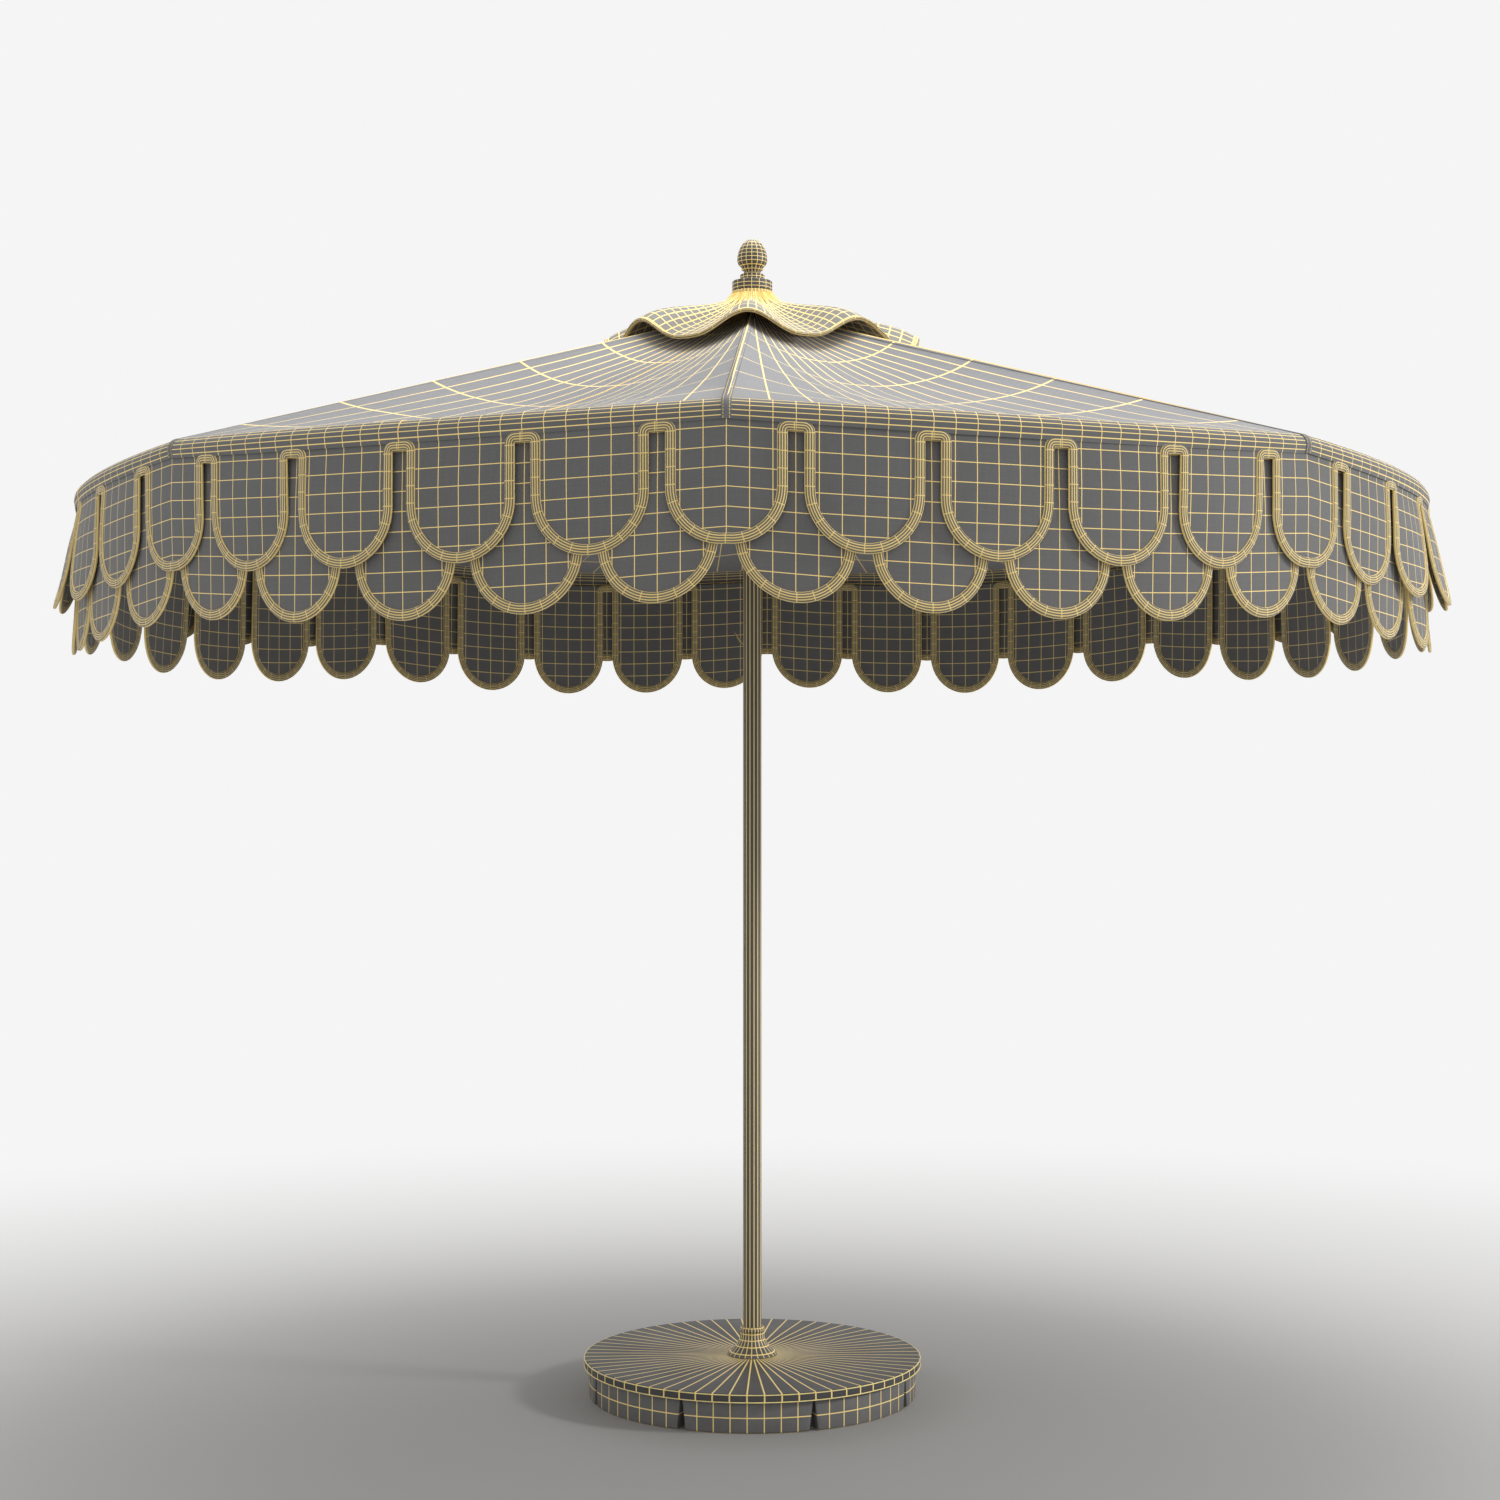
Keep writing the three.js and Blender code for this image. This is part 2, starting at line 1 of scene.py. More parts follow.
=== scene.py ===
# %% [markdown]
# # A garden parasol, dressed over its frame
# The frame is the part's exact model: mast, hub, runner, ribs, base and plain stand-ins for the cloth.
# Here each piece gets the look of the real thing. Sewn and turned pieces are made again with round
# edges and real seams, and every surface gets a finish. Lengths are metres, +Z runs up the mast, and
# rib 1 points to -Y, towards the camera.

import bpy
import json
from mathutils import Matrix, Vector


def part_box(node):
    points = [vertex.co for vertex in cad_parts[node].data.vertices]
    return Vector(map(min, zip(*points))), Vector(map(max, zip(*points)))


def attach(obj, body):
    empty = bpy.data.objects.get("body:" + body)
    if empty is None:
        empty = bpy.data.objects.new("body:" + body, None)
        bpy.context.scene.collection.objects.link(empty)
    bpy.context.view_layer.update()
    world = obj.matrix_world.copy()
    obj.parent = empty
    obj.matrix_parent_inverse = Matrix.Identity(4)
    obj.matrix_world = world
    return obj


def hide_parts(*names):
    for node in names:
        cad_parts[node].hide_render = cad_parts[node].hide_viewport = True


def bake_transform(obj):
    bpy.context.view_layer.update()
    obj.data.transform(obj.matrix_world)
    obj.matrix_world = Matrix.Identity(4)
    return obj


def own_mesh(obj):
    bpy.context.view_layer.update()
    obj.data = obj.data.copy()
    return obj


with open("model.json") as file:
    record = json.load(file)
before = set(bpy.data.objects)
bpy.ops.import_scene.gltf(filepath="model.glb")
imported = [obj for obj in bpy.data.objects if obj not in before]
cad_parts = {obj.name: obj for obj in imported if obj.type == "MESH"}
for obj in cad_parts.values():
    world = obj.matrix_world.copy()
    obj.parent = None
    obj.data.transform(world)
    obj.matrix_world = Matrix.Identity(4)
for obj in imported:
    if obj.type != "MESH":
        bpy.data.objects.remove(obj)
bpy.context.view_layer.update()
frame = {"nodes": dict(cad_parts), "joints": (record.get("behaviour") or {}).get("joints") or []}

# %% Blender's own modules
import json
import math

import bmesh
import bpy
from mathutils import Matrix, Vector, noise

scene = bpy.context.scene
print("Blender", bpy.app.version_string)

# %% [markdown]
# ## The sizes that drive everything
# The same few sizes that drive the frame's design are written here again, because the cloth's shape
# is a formula and not a measurement. Heights that the frame knows, such as the hub's pivot, are read
# from it.

# %% Driving sizes
RIBS = 8
SCALLOPS = 40
GORE = math.tau / RIBS  # angle from one rib to the next
RIM_RADIUS = 1.500
APEX_HEIGHT = 2.480  # where the ridges over the ribs would meet
RIM_HEIGHT = 2.020
RIM_DIP = 0.015  # how much lower the rim is between two ribs
GORE_SAG = 0.075
TAUT_RADIUS = 0.070  # inside it the cloth lies straight on the hub
BORE_RADIUS = 0.026
ROLL_RADIUS = 0.024  # the rim's rounded edge
SLOT_TOP = 1.976
SLOT_TOP_DIP = 0.023
SEAM_ABOVE_SLOT = 0.012
CLOTH = 0.0012
SLOPE = (APEX_HEIGHT - RIM_HEIGHT) / RIM_RADIUS
RIB_TILT = math.atan(SLOPE)

rib_fold = next(joint for joint in frame["joints"] if joint["name"] == "rib_1_fold")
hub_pivot = Vector(rib_fold["pos_m"])
print("ribs slope", round(math.degrees(RIB_TILT), 1), "degrees; hub pivot at", round(hub_pivot.z, 3))


# %% Small number helpers
def lerp(a, b, t):
    return a + (b - a) * t


def smooth_step(low, high, x):
    t = min(1.0, max(0.0, (x - low) / (high - low)))
    return t * t * (3 - 2 * t)


def rib_azimuth(number):
    return -math.pi / 2 + (number - 1) * GORE


def from_nearest_rib(off):
    """An angle past the middle of a gore is measured from the next rib instead."""
    return min(abs(off), GORE - abs(off))


def between_ribs(off):
    """0 at a rib and 1 halfway to the next one, rounded off in the middle."""
    return 1 - (1 - from_nearest_rib(off) / (GORE / 2)) ** 2


def polar(radius, azimuth, height):
    return Vector((radius * math.cos(azimuth), radius * math.sin(azimuth), height))


print("halfway between two ribs counts as", between_ribs(GORE / 2))

# %% [markdown]
# ## Camera
# A standing person's view from five and a half metres away, looking very slightly up at the canopy.
# A longish lens keeps the round rim from bulging. The camera comes first, so that every later piece
# can be judged through it.

# %% Camera
CAMERA_DISTANCE = 5.554
CAMERA_HEIGHT = 1.338
CAMERA_TURN = math.radians(1.67)
CAMERA_PITCH = math.radians(1.30)

lens = bpy.data.cameras.new("view")
lens.lens = 58.13
lens.sensor_width = 36.0
lens.shift_x = -0.0015
camera = bpy.data.objects.new("view", lens)
camera.location = polar(CAMERA_DISTANCE, CAMERA_TURN - math.pi / 2, CAMERA_HEIGHT)
camera.rotation_euler = (math.pi / 2 + CAMERA_PITCH, 0.0, CAMERA_TURN)
scene.collection.objects.link(camera)
scene.camera = camera
print("camera stands at", [round(x, 2) for x in camera.location])


# %% [markdown]
# ## Node helpers
# Materials are built from nodes in code. One helper adds a node and fills its inputs, another does
# arithmetic, and a third starts a node group with named sockets. They keep each finish short enough
# to read as a recipe.

# %% Node helpers
def add_node(tree, kind, inputs=None, **settings):
    """A shader node with its settings and inputs filled: an input is a value or another socket."""
    node = tree.nodes.new("ShaderNode" + kind)
    for name, value in settings.items():
        setattr(node, name, value)
    for name, value in (inputs or {}).items():
        if isinstance(value, bpy.types.NodeSocket):
            tree.links.new(value, node.inputs[name])
        else:
            node.inputs[name].default_value = value
    return node


def calculate(tree, operation, *values, clamp=False):
    inputs = dict(enumerate(values))
    return add_node(tree, "Math", inputs, operation=operation, use_clamp=clamp).outputs[0]


def mix_colours(tree, factor, first, second):
    """A blend of two colours, each a socket or an (r, g, b) value."""
    node = tree.nodes.new("ShaderNodeMix")
    node.data_type = "RGBA"
    sockets = [s for s in node.inputs if s.enabled]
    for socket, value in zip(sockets, (factor, first, second)):
        if isinstance(value, bpy.types.NodeSocket):
            tree.links.new(value, socket)
        elif isinstance(value, tuple):
            socket.default_value = (*value, 1.0)
        else:
            socket.default_value = value
    return next(s for s in node.outputs if s.enabled)


def start_group(name, inputs, outputs):
    """A node group with sockets given as (label, kind, default), and its input and output nodes."""
    tree = bpy.data.node_groups.new(name, "ShaderNodeTree")
    for label, kind, default in inputs:
        socket = tree.interface.new_socket(label, in_out="INPUT", socket_type="NodeSocket" + kind)
        if default is not None:
            socket.default_value = default
    for label, kind in outputs:
        tree.interface.new_socket(label, in_out="OUTPUT", socket_type="NodeSocket" + kind)
    return tree, tree.nodes.new("NodeGroupInput"), tree.nodes.new("NodeGroupOutput")


def use_group(tree, group, **inputs):
    node = tree.nodes.new("ShaderNodeGroup")
    node.node_tree = group
    for name, value in inputs.items():
        label = name.replace("_", " ").capitalize()
        if isinstance(value, bpy.types.NodeSocket):
            tree.links.new(value, node.inputs[label])
        else:
            node.inputs[label].default_value = value
    return node


print("node helpers ready")

# %% [markdown]
# ## Shared effects
# Five effects return on many finishes, so each is one node group. *Woven canvas* gives threads and
# the uneven tone of spun yarn. *Check lines* gives the thin straw-gold lines that are woven into the
# cloth and hand-lined on the metal. *Stitches* gives a dashed row of thread. *Edge wear* finds worn
# corners, and *Fine grain* gives the pebble of powder paint and cast metal.

# %% Woven canvas
def make_woven_canvas():
    tree, given, result = start_group(
        "Woven canvas",
        [("Vector", "Vector", None), ("Thread", "Float", 0.0016)],
        [("Height", "Float"), ("Tone", "Float")],
    )
    parts = add_node(tree, "SeparateXYZ", {0: given.outputs["Vector"]})
    waves = []
    for axis in (0, 1):
        turns = calculate(tree, "DIVIDE", parts.outputs[axis], given.outputs["Thread"])
        waves.append(calculate(tree, "SINE", calculate(tree, "MULTIPLY", turns, math.pi)))
    tree.links.new(calculate(tree, "MULTIPLY", *waves), result.inputs["Height"])
    yarns = []
    for stretch in ((14.0, 520.0, 1.0), (520.0, 14.0, 1.0)):
        stretched = add_node(tree, "Mapping", {"Vector": given.outputs["Vector"], "Scale": stretch})
        yarn = add_node(tree, "TexNoise", {"Vector": stretched.outputs[0], "Scale": 1.0, "Detail": 2.0})
        yarns.append(yarn.outputs[0])
    tree.links.new(calculate(tree, "MULTIPLY", *yarns), result.inputs["Tone"])
    return tree


woven_canvas = make_woven_canvas()
print("made", woven_canvas.name)


# %% Check lines
def line_mask(tree, place, pitch, width):
    """1 on lines that stand a pitch apart, fading out over a third of their width."""
    turns = calculate(tree, "DIVIDE", place, pitch)
    nearest = calculate(tree, "SUBTRACT", turns, calculate(tree, "ROUND", turns))
    distance = calculate(tree, "MULTIPLY", calculate(tree, "ABSOLUTE", nearest), pitch)
    share = calculate(tree, "DIVIDE", distance, width)
    return calculate(tree, "MULTIPLY_ADD", share, -3.0, 2.0, clamp=True)


def make_check_lines():
    numbers = ("Across", "Across pitch", "Across width", "Along", "Along pitch", "Along width")
    defaults = (0.0, 0.04, 0.002, 0.0, 0.04, 0.002)
    tree, given, result = start_group(
        "Check lines", [(n, "Float", d) for n, d in zip(numbers, defaults)], [("Mask", "Float")]
    )
    masks = [line_mask(tree, *(given.outputs[n] for n in numbers[i : i + 3])) for i in (0, 3)]
    tree.links.new(calculate(tree, "MAXIMUM", *masks), result.inputs["Mask"])
    return tree


check_lines = make_check_lines()
print("made", check_lines.name)


# %% Stitches
def make_stitches():
    tree, given, result = start_group(
        "Stitches",
        [("Along", "Float", 0.0), ("Offset", "Float", 0.0), ("Length", "Float", 0.006)],
        [("Mask", "Float")],
    )
    turns = calculate(tree, "DIVIDE", given.outputs["Along"], given.outputs["Length"])
    dash = calculate(tree, "LESS_THAN", calculate(tree, "FRACT", turns), 0.72)
    near = calculate(tree, "DIVIDE", calculate(tree, "ABSOLUTE", given.outputs["Offset"]), 0.0007)
    row = calculate(tree, "MULTIPLY_ADD", near, -2.0, 2.0, clamp=True)
    tree.links.new(calculate(tree, "MULTIPLY", dash, row), result.inputs["Mask"])
    return tree


stitches = make_stitches()
print("made", stitches.name)


# %% Edge wear and fine grain
def make_edge_wear():
    tree, given, result = start_group("Edge wear", [("Amount", "Float", 1.0)], [("Mask", "Float")])
    shape = add_node(tree, "NewGeometry")
    corner = calculate(tree, "SUBTRACT", shape.outputs["Pointiness"], 0.515)
    corner = calculate(tree, "MULTIPLY", corner, 22.0, clamp=True)
    place = add_node(tree, "TexCoord").outputs["Object"]
    patches = add_node(tree, "TexNoise", {"Vector": place, "Scale": 45.0, "Detail": 4.0})
    patchy = calculate(tree, "MULTIPLY_ADD", patches.outputs[0], 3.0, -1.1, clamp=True)
    worn = calculate(tree, "MULTIPLY", corner, patchy)
    tree.links.new(calculate(tree, "MULTIPLY", worn, given.outputs["Amount"]), result.inputs["Mask"])
    return tree


def make_fine_grain():
    tree, given, result = start_group(
        "Fine grain", [("Scale", "Float", 900.0)], [("Height", "Float"), ("Tone", "Float")]
    )
    place = add_node(tree, "TexCoord").outputs["Object"]
    fineness = given.outputs["Scale"]
    pebble = add_node(tree, "TexNoise", {"Vector": place, "Scale": fineness, "Detail": 1.0})
    cloud = add_node(tree, "TexNoise", {"Vector": place, "Scale": 9.0, "Detail": 5.0})
    tree.links.new(pebble.outputs[0], result.inputs["Height"])
    tree.links.new(cloud.outputs[0], result.inputs["Tone"])
    return tree


edge_wear = make_edge_wear()
fine_grain = make_fine_grain()
print("made", edge_wear.name, "and", fine_grain.name)

# %% [markdown]
# ## Cloth finishes
# The parasol is sewn from solution-dyed acrylic canvas with a thin straw-gold windowpane check. Its
# grey is painted in two copies: a lighter stone grey on top, as painted light from above, and a darker
# grey for the hanging valance and the rim band, as painted shade on cloth that faces sideways. On the
# canopy the check runs with the gore, so its lines fan out from the hub. A map on the cloth holds where
# each point lies on the flat cut, so the weave and the lines bend with the cloth.

# %% Colours of the yarns and paints
STRAW_GOLD = (0.95, 0.71, 0.26)
# Painted light and shade: the canopy grey is a lighter copy lit from above, the valance grey a darker
# copy shaded on sideways-facing cloth.
CANOPY_GREY_PAINTED_LIT = (0.172, 0.172, 0.178)
VALANCE_GREY_PAINTED_SHADE = (0.112, 0.111, 0.110)
CAP_GREY = (0.180, 0.176, 0.160)
BINDING_GREY = (0.150, 0.135, 0.095)
PAINT_GREY = (0.085, 0.084, 0.082)
PLATE_GREY = (0.048, 0.047, 0.046)
BODY_GREY = (0.110, 0.109, 0.106)
IRON_GREY = (0.050, 0.050, 0.050)
print("yarns and paints mixed")


# %% Start of every finish
def start_material(name, roughness, metallic=0.0):
    material = bpy.data.materials.new(name)
    material.use_nodes = True
    tree = material.node_tree
    shader = tree.nodes["Principled BSDF"]
    shader.inputs["Roughness"].default_value = roughness
    shader.inputs["Metallic"].default_value = metallic
    return material, tree, shader


def cloth_map(tree):
    """The two coordinates of the cloth's own map."""
    flat = add_node(tree, "UVMap", uv_map="Cloth")
    parts = add_node(tree, "SeparateXYZ", {0: flat.outputs[0]})
    return flat.outputs[0], parts.outputs[0], parts.outputs[1]


def shade(tree, colour, tone, low, high):
    """The colour made lighter and darker by a tone from 0 to 1."""
    darker = tuple(c * low for c in colour)
    lighter = tuple(min(1.0, c * high) for c in colour)
    return mix_colours(tree, tone, darker, lighter)


def raise_surface(tree, shader, height, distance):
    bump = add_node(tree, "Bump", {"Height": height, "Distance": distance, "Strength": 1.0})
    tree.links.new(bump.outputs[0], shader.inputs["Normal"])


print("finish helpers ready")


# %% Canvas and its gold
def cloth_ground(tree, colour, metric, along):
    """Canvas of one colour: its shaded colour and the height of its threads."""
    thread_place = add_node(tree, "CombineXYZ", {0: metric, 1: along, 2: 0.0}).outputs[0]
    canvas = use_group(tree, woven_canvas, vector=thread_place)
    place = add_node(tree, "TexCoord").outputs["Object"]
    weathering = add_node(tree, "TexNoise", {"Vector": place, "Scale": 2.2, "Detail": 6.0})
    tone = calculate(tree, "MULTIPLY_ADD", canvas.outputs["Tone"], 1.6, weathering.outputs[0])
    tone = calculate(tree, "SUBTRACT", tone, 0.4, clamp=True)
    return shade(tree, colour, tone, 0.84, 1.14), canvas.outputs["Height"]


def lay_gold(tree, shader, ground, mask, threads):
    """Gold where the mask is 1, raised a little like heavier yarn."""
    tree.links.new(mix_colours(tree, mask, ground, STRAW_GOLD), shader.inputs["Base Color"])
    raise_surface(tree, shader, calculate(tree, "MULTIPLY_ADD", mask, 0.8, threads), 0.00025)


print("canvas helpers ready")


# %% Canvas cut flat
def valance_material(name, colour, across_pitch, along_pitch, line_width):
    """Flat-cut canvas with a windowpane check."""
    material, tree, shader = start_material(name, roughness=0.92)
    shader.inputs["Sheen Weight"].default_value = 0.2
    _, across, along = cloth_map(tree)
    ground, threads = cloth_ground(tree, colour, across, along)
    lines = use_group(
        tree,
        check_lines,
        across=across,
        across_pitch=across_pitch,
        across_width=line_width,
        along=along,
        along_pitch=along_pitch,
        along_width=line_width,
    )
    lay_gold(tree, shader, ground, lines.outputs["Mask"], threads)
    return material


LINE = 0.0014
print("checked canvas has lines", LINE * 1000, "mm wide")


# %% Canvas cut in gores
def gore_material(name, colour, lines_per_gore, ring_pitch, line_width, ring_width, painted_shade_band_from=10.0):
    """Canvas cut in gores. Lines fan out from the hub, rings cross them, and a band of painted shade in
    the valance grey ends it.
    """
    material, tree, shader = start_material(name, roughness=0.92)
    shader.inputs["Sheen Weight"].default_value = 0.2
    _, share, along = cloth_map(tree)
    gore_width = calculate(tree, "MULTIPLY", along, GORE * math.cos(RIB_TILT))
    metric = calculate(tree, "MULTIPLY", share, gore_width)
    on_painted_shade_band = calculate(tree, "GREATER_THAN", along, painted_shade_band_from)
    ground, threads = cloth_ground(tree, colour, metric, along)
    # Painted shade: from the rim roll down, the canvas takes the darker valance grey, standing in for
    # the shade on the sideways-facing roll.
    ground = mix_colours(tree, on_painted_shade_band, ground, VALANCE_GREY_PAINTED_SHADE)
    masks = []
    roof = (lines_per_gore, ring_pitch, line_width, ring_width)
    band = (BAND_LINES, ROW_PITCH, LINE, LINE)
    for count, pitch, fan_width, cross_width in (roof, band):
        lines = use_group(
            tree,
            check_lines,
            across=metric,
            across_pitch=calculate(tree, "DIVIDE", gore_width, float(count)),
            across_width=fan_width,
            along=along,
            along_pitch=pitch,
            along_width=cross_width,
        )
        masks.append(lines.outputs["Mask"])
    kept = calculate(tree, "MULTIPLY", masks[0], calculate(tree, "SUBTRACT", 1.0, on_painted_shade_band))
    mask = calculate(tree, "MULTIPLY_ADD", masks[1], on_painted_shade_band, kept)
    lay_gold(tree, shader, ground, mask, threads)
    return material


LINES_PER_SCALLOP = 6
CHECK = RIM_RADIUS * math.tau / SCALLOPS / LINES_PER_SCALLOP
BAND_LINES = SCALLOPS * LINES_PER_SCALLOP // RIBS
ROW_PITCH = 0.0085
# Where the band of painted shade starts, as a length along the cloth from the hub.
ROLL_STARTS_ALONG = 1.552
canopy_cloth = gore_material("canopy canvas", CANOPY_GREY_PAINTED_LIT, 16, 0.235, 0.0030, 0.0062, ROLL_STARTS_ALONG)
cap_cloth = gore_material("cap canvas", CAP_GREY, 14, 0.026, 0.0024, 0.0030)
valance_cloth = valance_material("valance canvas", VALANCE_GREY_PAINTED_SHADE, CHECK, 0.034, LINE)
print("cloth finishes:", canopy_cloth.name, cap_cloth.name, valance_cloth.name)

# %% [markdown]
# ### Braid and seam tape
# The binding is a woven braid with gold rails along it and bars across it. The tape over each seam is
# canvas held by two rows of topstitching. Modelling every yarn would take millions of faces for
# something a millimetre wide, so the shared groups draw both on the tape's own map, and a bump lifts
# the thread.


# %% Gold-edged binding
def binding_material(name, width, rails, ground_colour):
    """Braid: a grey ground with gold rails along it, gold bars across it and a stitch row."""
    material, tree, shader = start_material(name, roughness=0.78)
    shader.inputs["Sheen Weight"].default_value = 0.3
    flat, along, across = cloth_map(tree)
    canvas = use_group(tree, woven_canvas, vector=flat, thread=0.0011)
    lines = use_group(
        tree,
        check_lines,
        across=across,
        across_pitch=width / rails,
        across_width=0.0019,
        along=along,
        along_pitch=0.030,
        along_width=0.0018,
    )
    ground = shade(tree, ground_colour, canvas.outputs["Tone"], 0.75, 1.5)
    gold = shade(tree, STRAW_GOLD, canvas.outputs["Tone"], 0.8, 1.05)
    colour = mix_colours(tree, lines.outputs["Mask"], ground, gold)
    tree.links.new(colour, shader.inputs["Base Color"])
    height = calculate(tree, "MULTIPLY_ADD", lines.outputs["Mask"], 2.0, canvas.outputs["Height"])
    raise_surface(tree, shader, height, 0.0003)
    return material


TAPE_WIDTH = 0.018
gold_binding = binding_material("gold-edged binding", TAPE_WIDTH, 4, BINDING_GREY)
print("braid is", round(TAPE_WIDTH * 1000), "mm wide")


# %% Seam tape with two rows of topstitching
def seam_material():
    material, tree, shader = start_material("stitched seam", roughness=0.9)
    flat, along, across = cloth_map(tree)
    canvas = use_group(tree, woven_canvas, vector=flat, thread=0.0014)
    rows = []
    for side in (-1, 1):
        offset = calculate(tree, "ADD", across, side * 0.0055)
        rows.append(use_group(tree, stitches, along=along, offset=offset).outputs["Mask"])
    thread = calculate(tree, "MAXIMUM", *rows)
    ground = shade(tree, CANOPY_GREY_PAINTED_LIT, canvas.outputs["Tone"], 0.7, 1.2)
    tree.links.new(mix_colours(tree, thread, ground, STRAW_GOLD), shader.inputs["Base Color"])
    height = calculate(tree, "MULTIPLY_ADD", thread, 2.5, canvas.outputs["Height"])
    raise_surface(tree, shader, height, 0.0003)
    return material


stitched_seam = seam_material()
print("sewn finishes:", gold_binding.name, stitched_seam.name)

# %% [markdown]
# ## Metal and moulded finishes
# Mast, collar, finial and base plate are powder-coated steel with hand-drawn gold lining. The lining
# follows turned work: lines run up the piece at even angles and round it at even heights. The paint
# shows a fine pebble, cloudy gloss and rubbed corners where bare metal comes through.


# %% Lined paint
def lined_paint(name, colour, around, rings, line_width, along="height", worn=0.5):
    """Powder paint with gold lines: `around` of them round the axis, and rings a set way apart."""
    material, tree, shader = start_material(name, roughness=0.5)
    grain = use_group(tree, fine_grain, scale=1100.0)
    wear = use_group(tree, edge_wear, amount=worn)
    place = add_node(tree, "TexCoord").outputs["Object"]
    parts = add_node(tree, "SeparateXYZ", {0: place})
    x, y, z = parts.outputs
    azimuth = calculate(tree, "ARCTAN2", y, x)
    squares = calculate(tree, "MULTIPLY_ADD", x, x, calculate(tree, "MULTIPLY", y, y))
    radius = calculate(tree, "SQRT", squares)
    lines = use_group(
        tree,
        check_lines,
        across=calculate(tree, "MULTIPLY", azimuth, radius),
        across_pitch=calculate(tree, "MULTIPLY", radius, math.tau / around),
        across_width=line_width,
        along=z if along == "height" else radius,
        along_pitch=rings,
        along_width=line_width,
    )
    ground = shade(tree, colour, grain.outputs["Tone"], 0.8, 1.25)
    lined = mix_colours(tree, lines.outputs["Mask"], ground, STRAW_GOLD)
    rubbed = mix_colours(tree, wear.outputs["Mask"], lined, BARE_STEEL)
    tree.links.new(rubbed, shader.inputs["Base Color"])
    gloss = calculate(tree, "MULTIPLY_ADD", grain.outputs["Tone"], 0.25, 0.42)
    tree.links.new(gloss, shader.inputs["Roughness"])
    raise_surface(tree, shader, grain.outputs["Height"], 0.00012)
    return material


BARE_STEEL = (0.42, 0.41, 0.39)
NO_RINGS = 10.0  # a ring pitch larger than the piece
mast_paint = lined_paint("lined mast paint", PAINT_GREY, 14, NO_RINGS, 0.0022, worn=0.0)
collar_paint = lined_paint("lined collar paint", PAINT_GREY, 24, 0.0135, 0.0018, worn=0.2)
finial_paint = lined_paint("lined finial paint", PLATE_GREY, 16, 0.0088, 0.0012, worn=0.2)
plate_paint = lined_paint(
    "lined base paint", PLATE_GREY, 64, NO_RINGS, 0.0032, along="radius", worn=0.15
)
body_paint = lined_paint("lined base body", BODY_GREY, 64, 0.0335, 0.0022, worn=0.15)
gilding = lined_paint("gilded bead", STRAW_GOLD, 240, NO_RINGS, 0.0010, worn=0.3)
print("painted finishes:", mast_paint.name, collar_paint.name, finial_paint.name, plate_paint.name)

# %% [markdown]
# ### Plain metals and knobs
# The ribs are painted, the hub and runner are bare castings, the pins are plated and the knobs are
# moulded plastic. These differ in colour, gloss and grain but not in kind, so one recipe makes them
# all from a few values.


# %% Plain paint, cast alloy, plating and moulded knobs
def plain_metal(name, colour, roughness, metallic, grain_scale, grain_depth, wear_amount, bare):
    material, tree, shader = start_material(name, roughness, metallic)
    grain = use_group(tree, fine_grain, scale=grain_scale)
    wear = use_group(tree, edge_wear, amount=wear_amount)
    ground = shade(tree, colour, grain.outputs["Tone"], 0.75, 1.3)
    tree.links.new(mix_colours(tree, wear.outputs["Mask"], ground, bare), shader.inputs["Base Color"])
    gloss = calculate(tree, "MULTIPLY_ADD", grain.outputs["Tone"], 0.3, roughness - 0.15)
    tree.links.new(gloss, shader.inputs["Roughness"])
    raise_surface(tree, shader, grain.outputs["Height"], grain_depth)
    return material


BARE_ALLOY = (0.55, 0.54, 0.52)
CAST_GREY = (0.16, 0.155, 0.15)
NICKEL = (0.62, 0.60, 0.55)
KNOB_BLACK = (0.028, 0.028, 0.029)
RUBBED_KNOB = (0.1, 0.1, 0.1)
rib_paint = plain_metal("painted rib", IRON_GREY, 0.45, 0.0, 900.0, 0.00010, 0.9, BARE_ALLOY)
cast_alloy = plain_metal("cast alloy", CAST_GREY, 0.5, 0.6, 420.0, 0.00025, 1.0, BARE_ALLOY)
plating = plain_metal("plated pin", NICKEL, 0.28, 1.0, 1500.0, 0.00003, 0.4, BARE_ALLOY)
moulded_knob = plain_metal("moulded knob", KNOB_BLACK, 0.5, 0.0, 700.0, 0.00015, 0.25, RUBBED_KNOB)
print("plain finishes:", rib_paint.name, cast_alloy.name, plating.name, moulded_knob.name)

# %% [markdown]
# ## Mesh helpers
# A cloth piece starts as a flat grid whose corners are moved to where the formula puts them, and
# then gets its thickness. A turned piece is half an outline spun round the mast's axis, as on a
# lathe, and its corners are then rounded with a bevel.


# %% Finished piece
def make_piece(name, mesh_maker, body, material, sharp_degrees=38):
    mesh = bpy.data.meshes.new(name)
    mesh_maker.to_mesh(mesh)
    mesh_maker.free()
    mesh.materials.append(material)
    mesh.shade_smooth()
    mesh.set_sharp_from_angle(angle=math.radians(sharp_degrees))
    piece = bpy.data.objects.new(name, mesh)
    scene.collection.objects.link(piece)
    if body:
        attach(piece, body)
    return piece


def turn_outward(bm):
    if bm.calc_volume(signed=True) < 0:
        bmesh.ops.reverse_faces(bm, faces=bm.faces[:])


print("piece helper ready")


# %% Cloth grid
def cloth_grid(bm, columns, rows, place, flat_place):
    """Adds a grid to bm, moved to place(u, v), with its cloth map at flat_place(u, v)."""
    flat = bm.loops.layers.uv.get("Cloth") or bm.loops.layers.uv.new("Cloth")
    made = bmesh.ops.create_grid(bm, x_segments=columns, y_segments=rows, size=0.5)
    for vert in made["verts"]:
        u, v = vert.co.x + 0.5, vert.co.y + 0.5
        for loop in vert.link_loops:
            loop[flat].uv = flat_place(u, v)
        vert.co = place(u, v)
    return made["verts"]


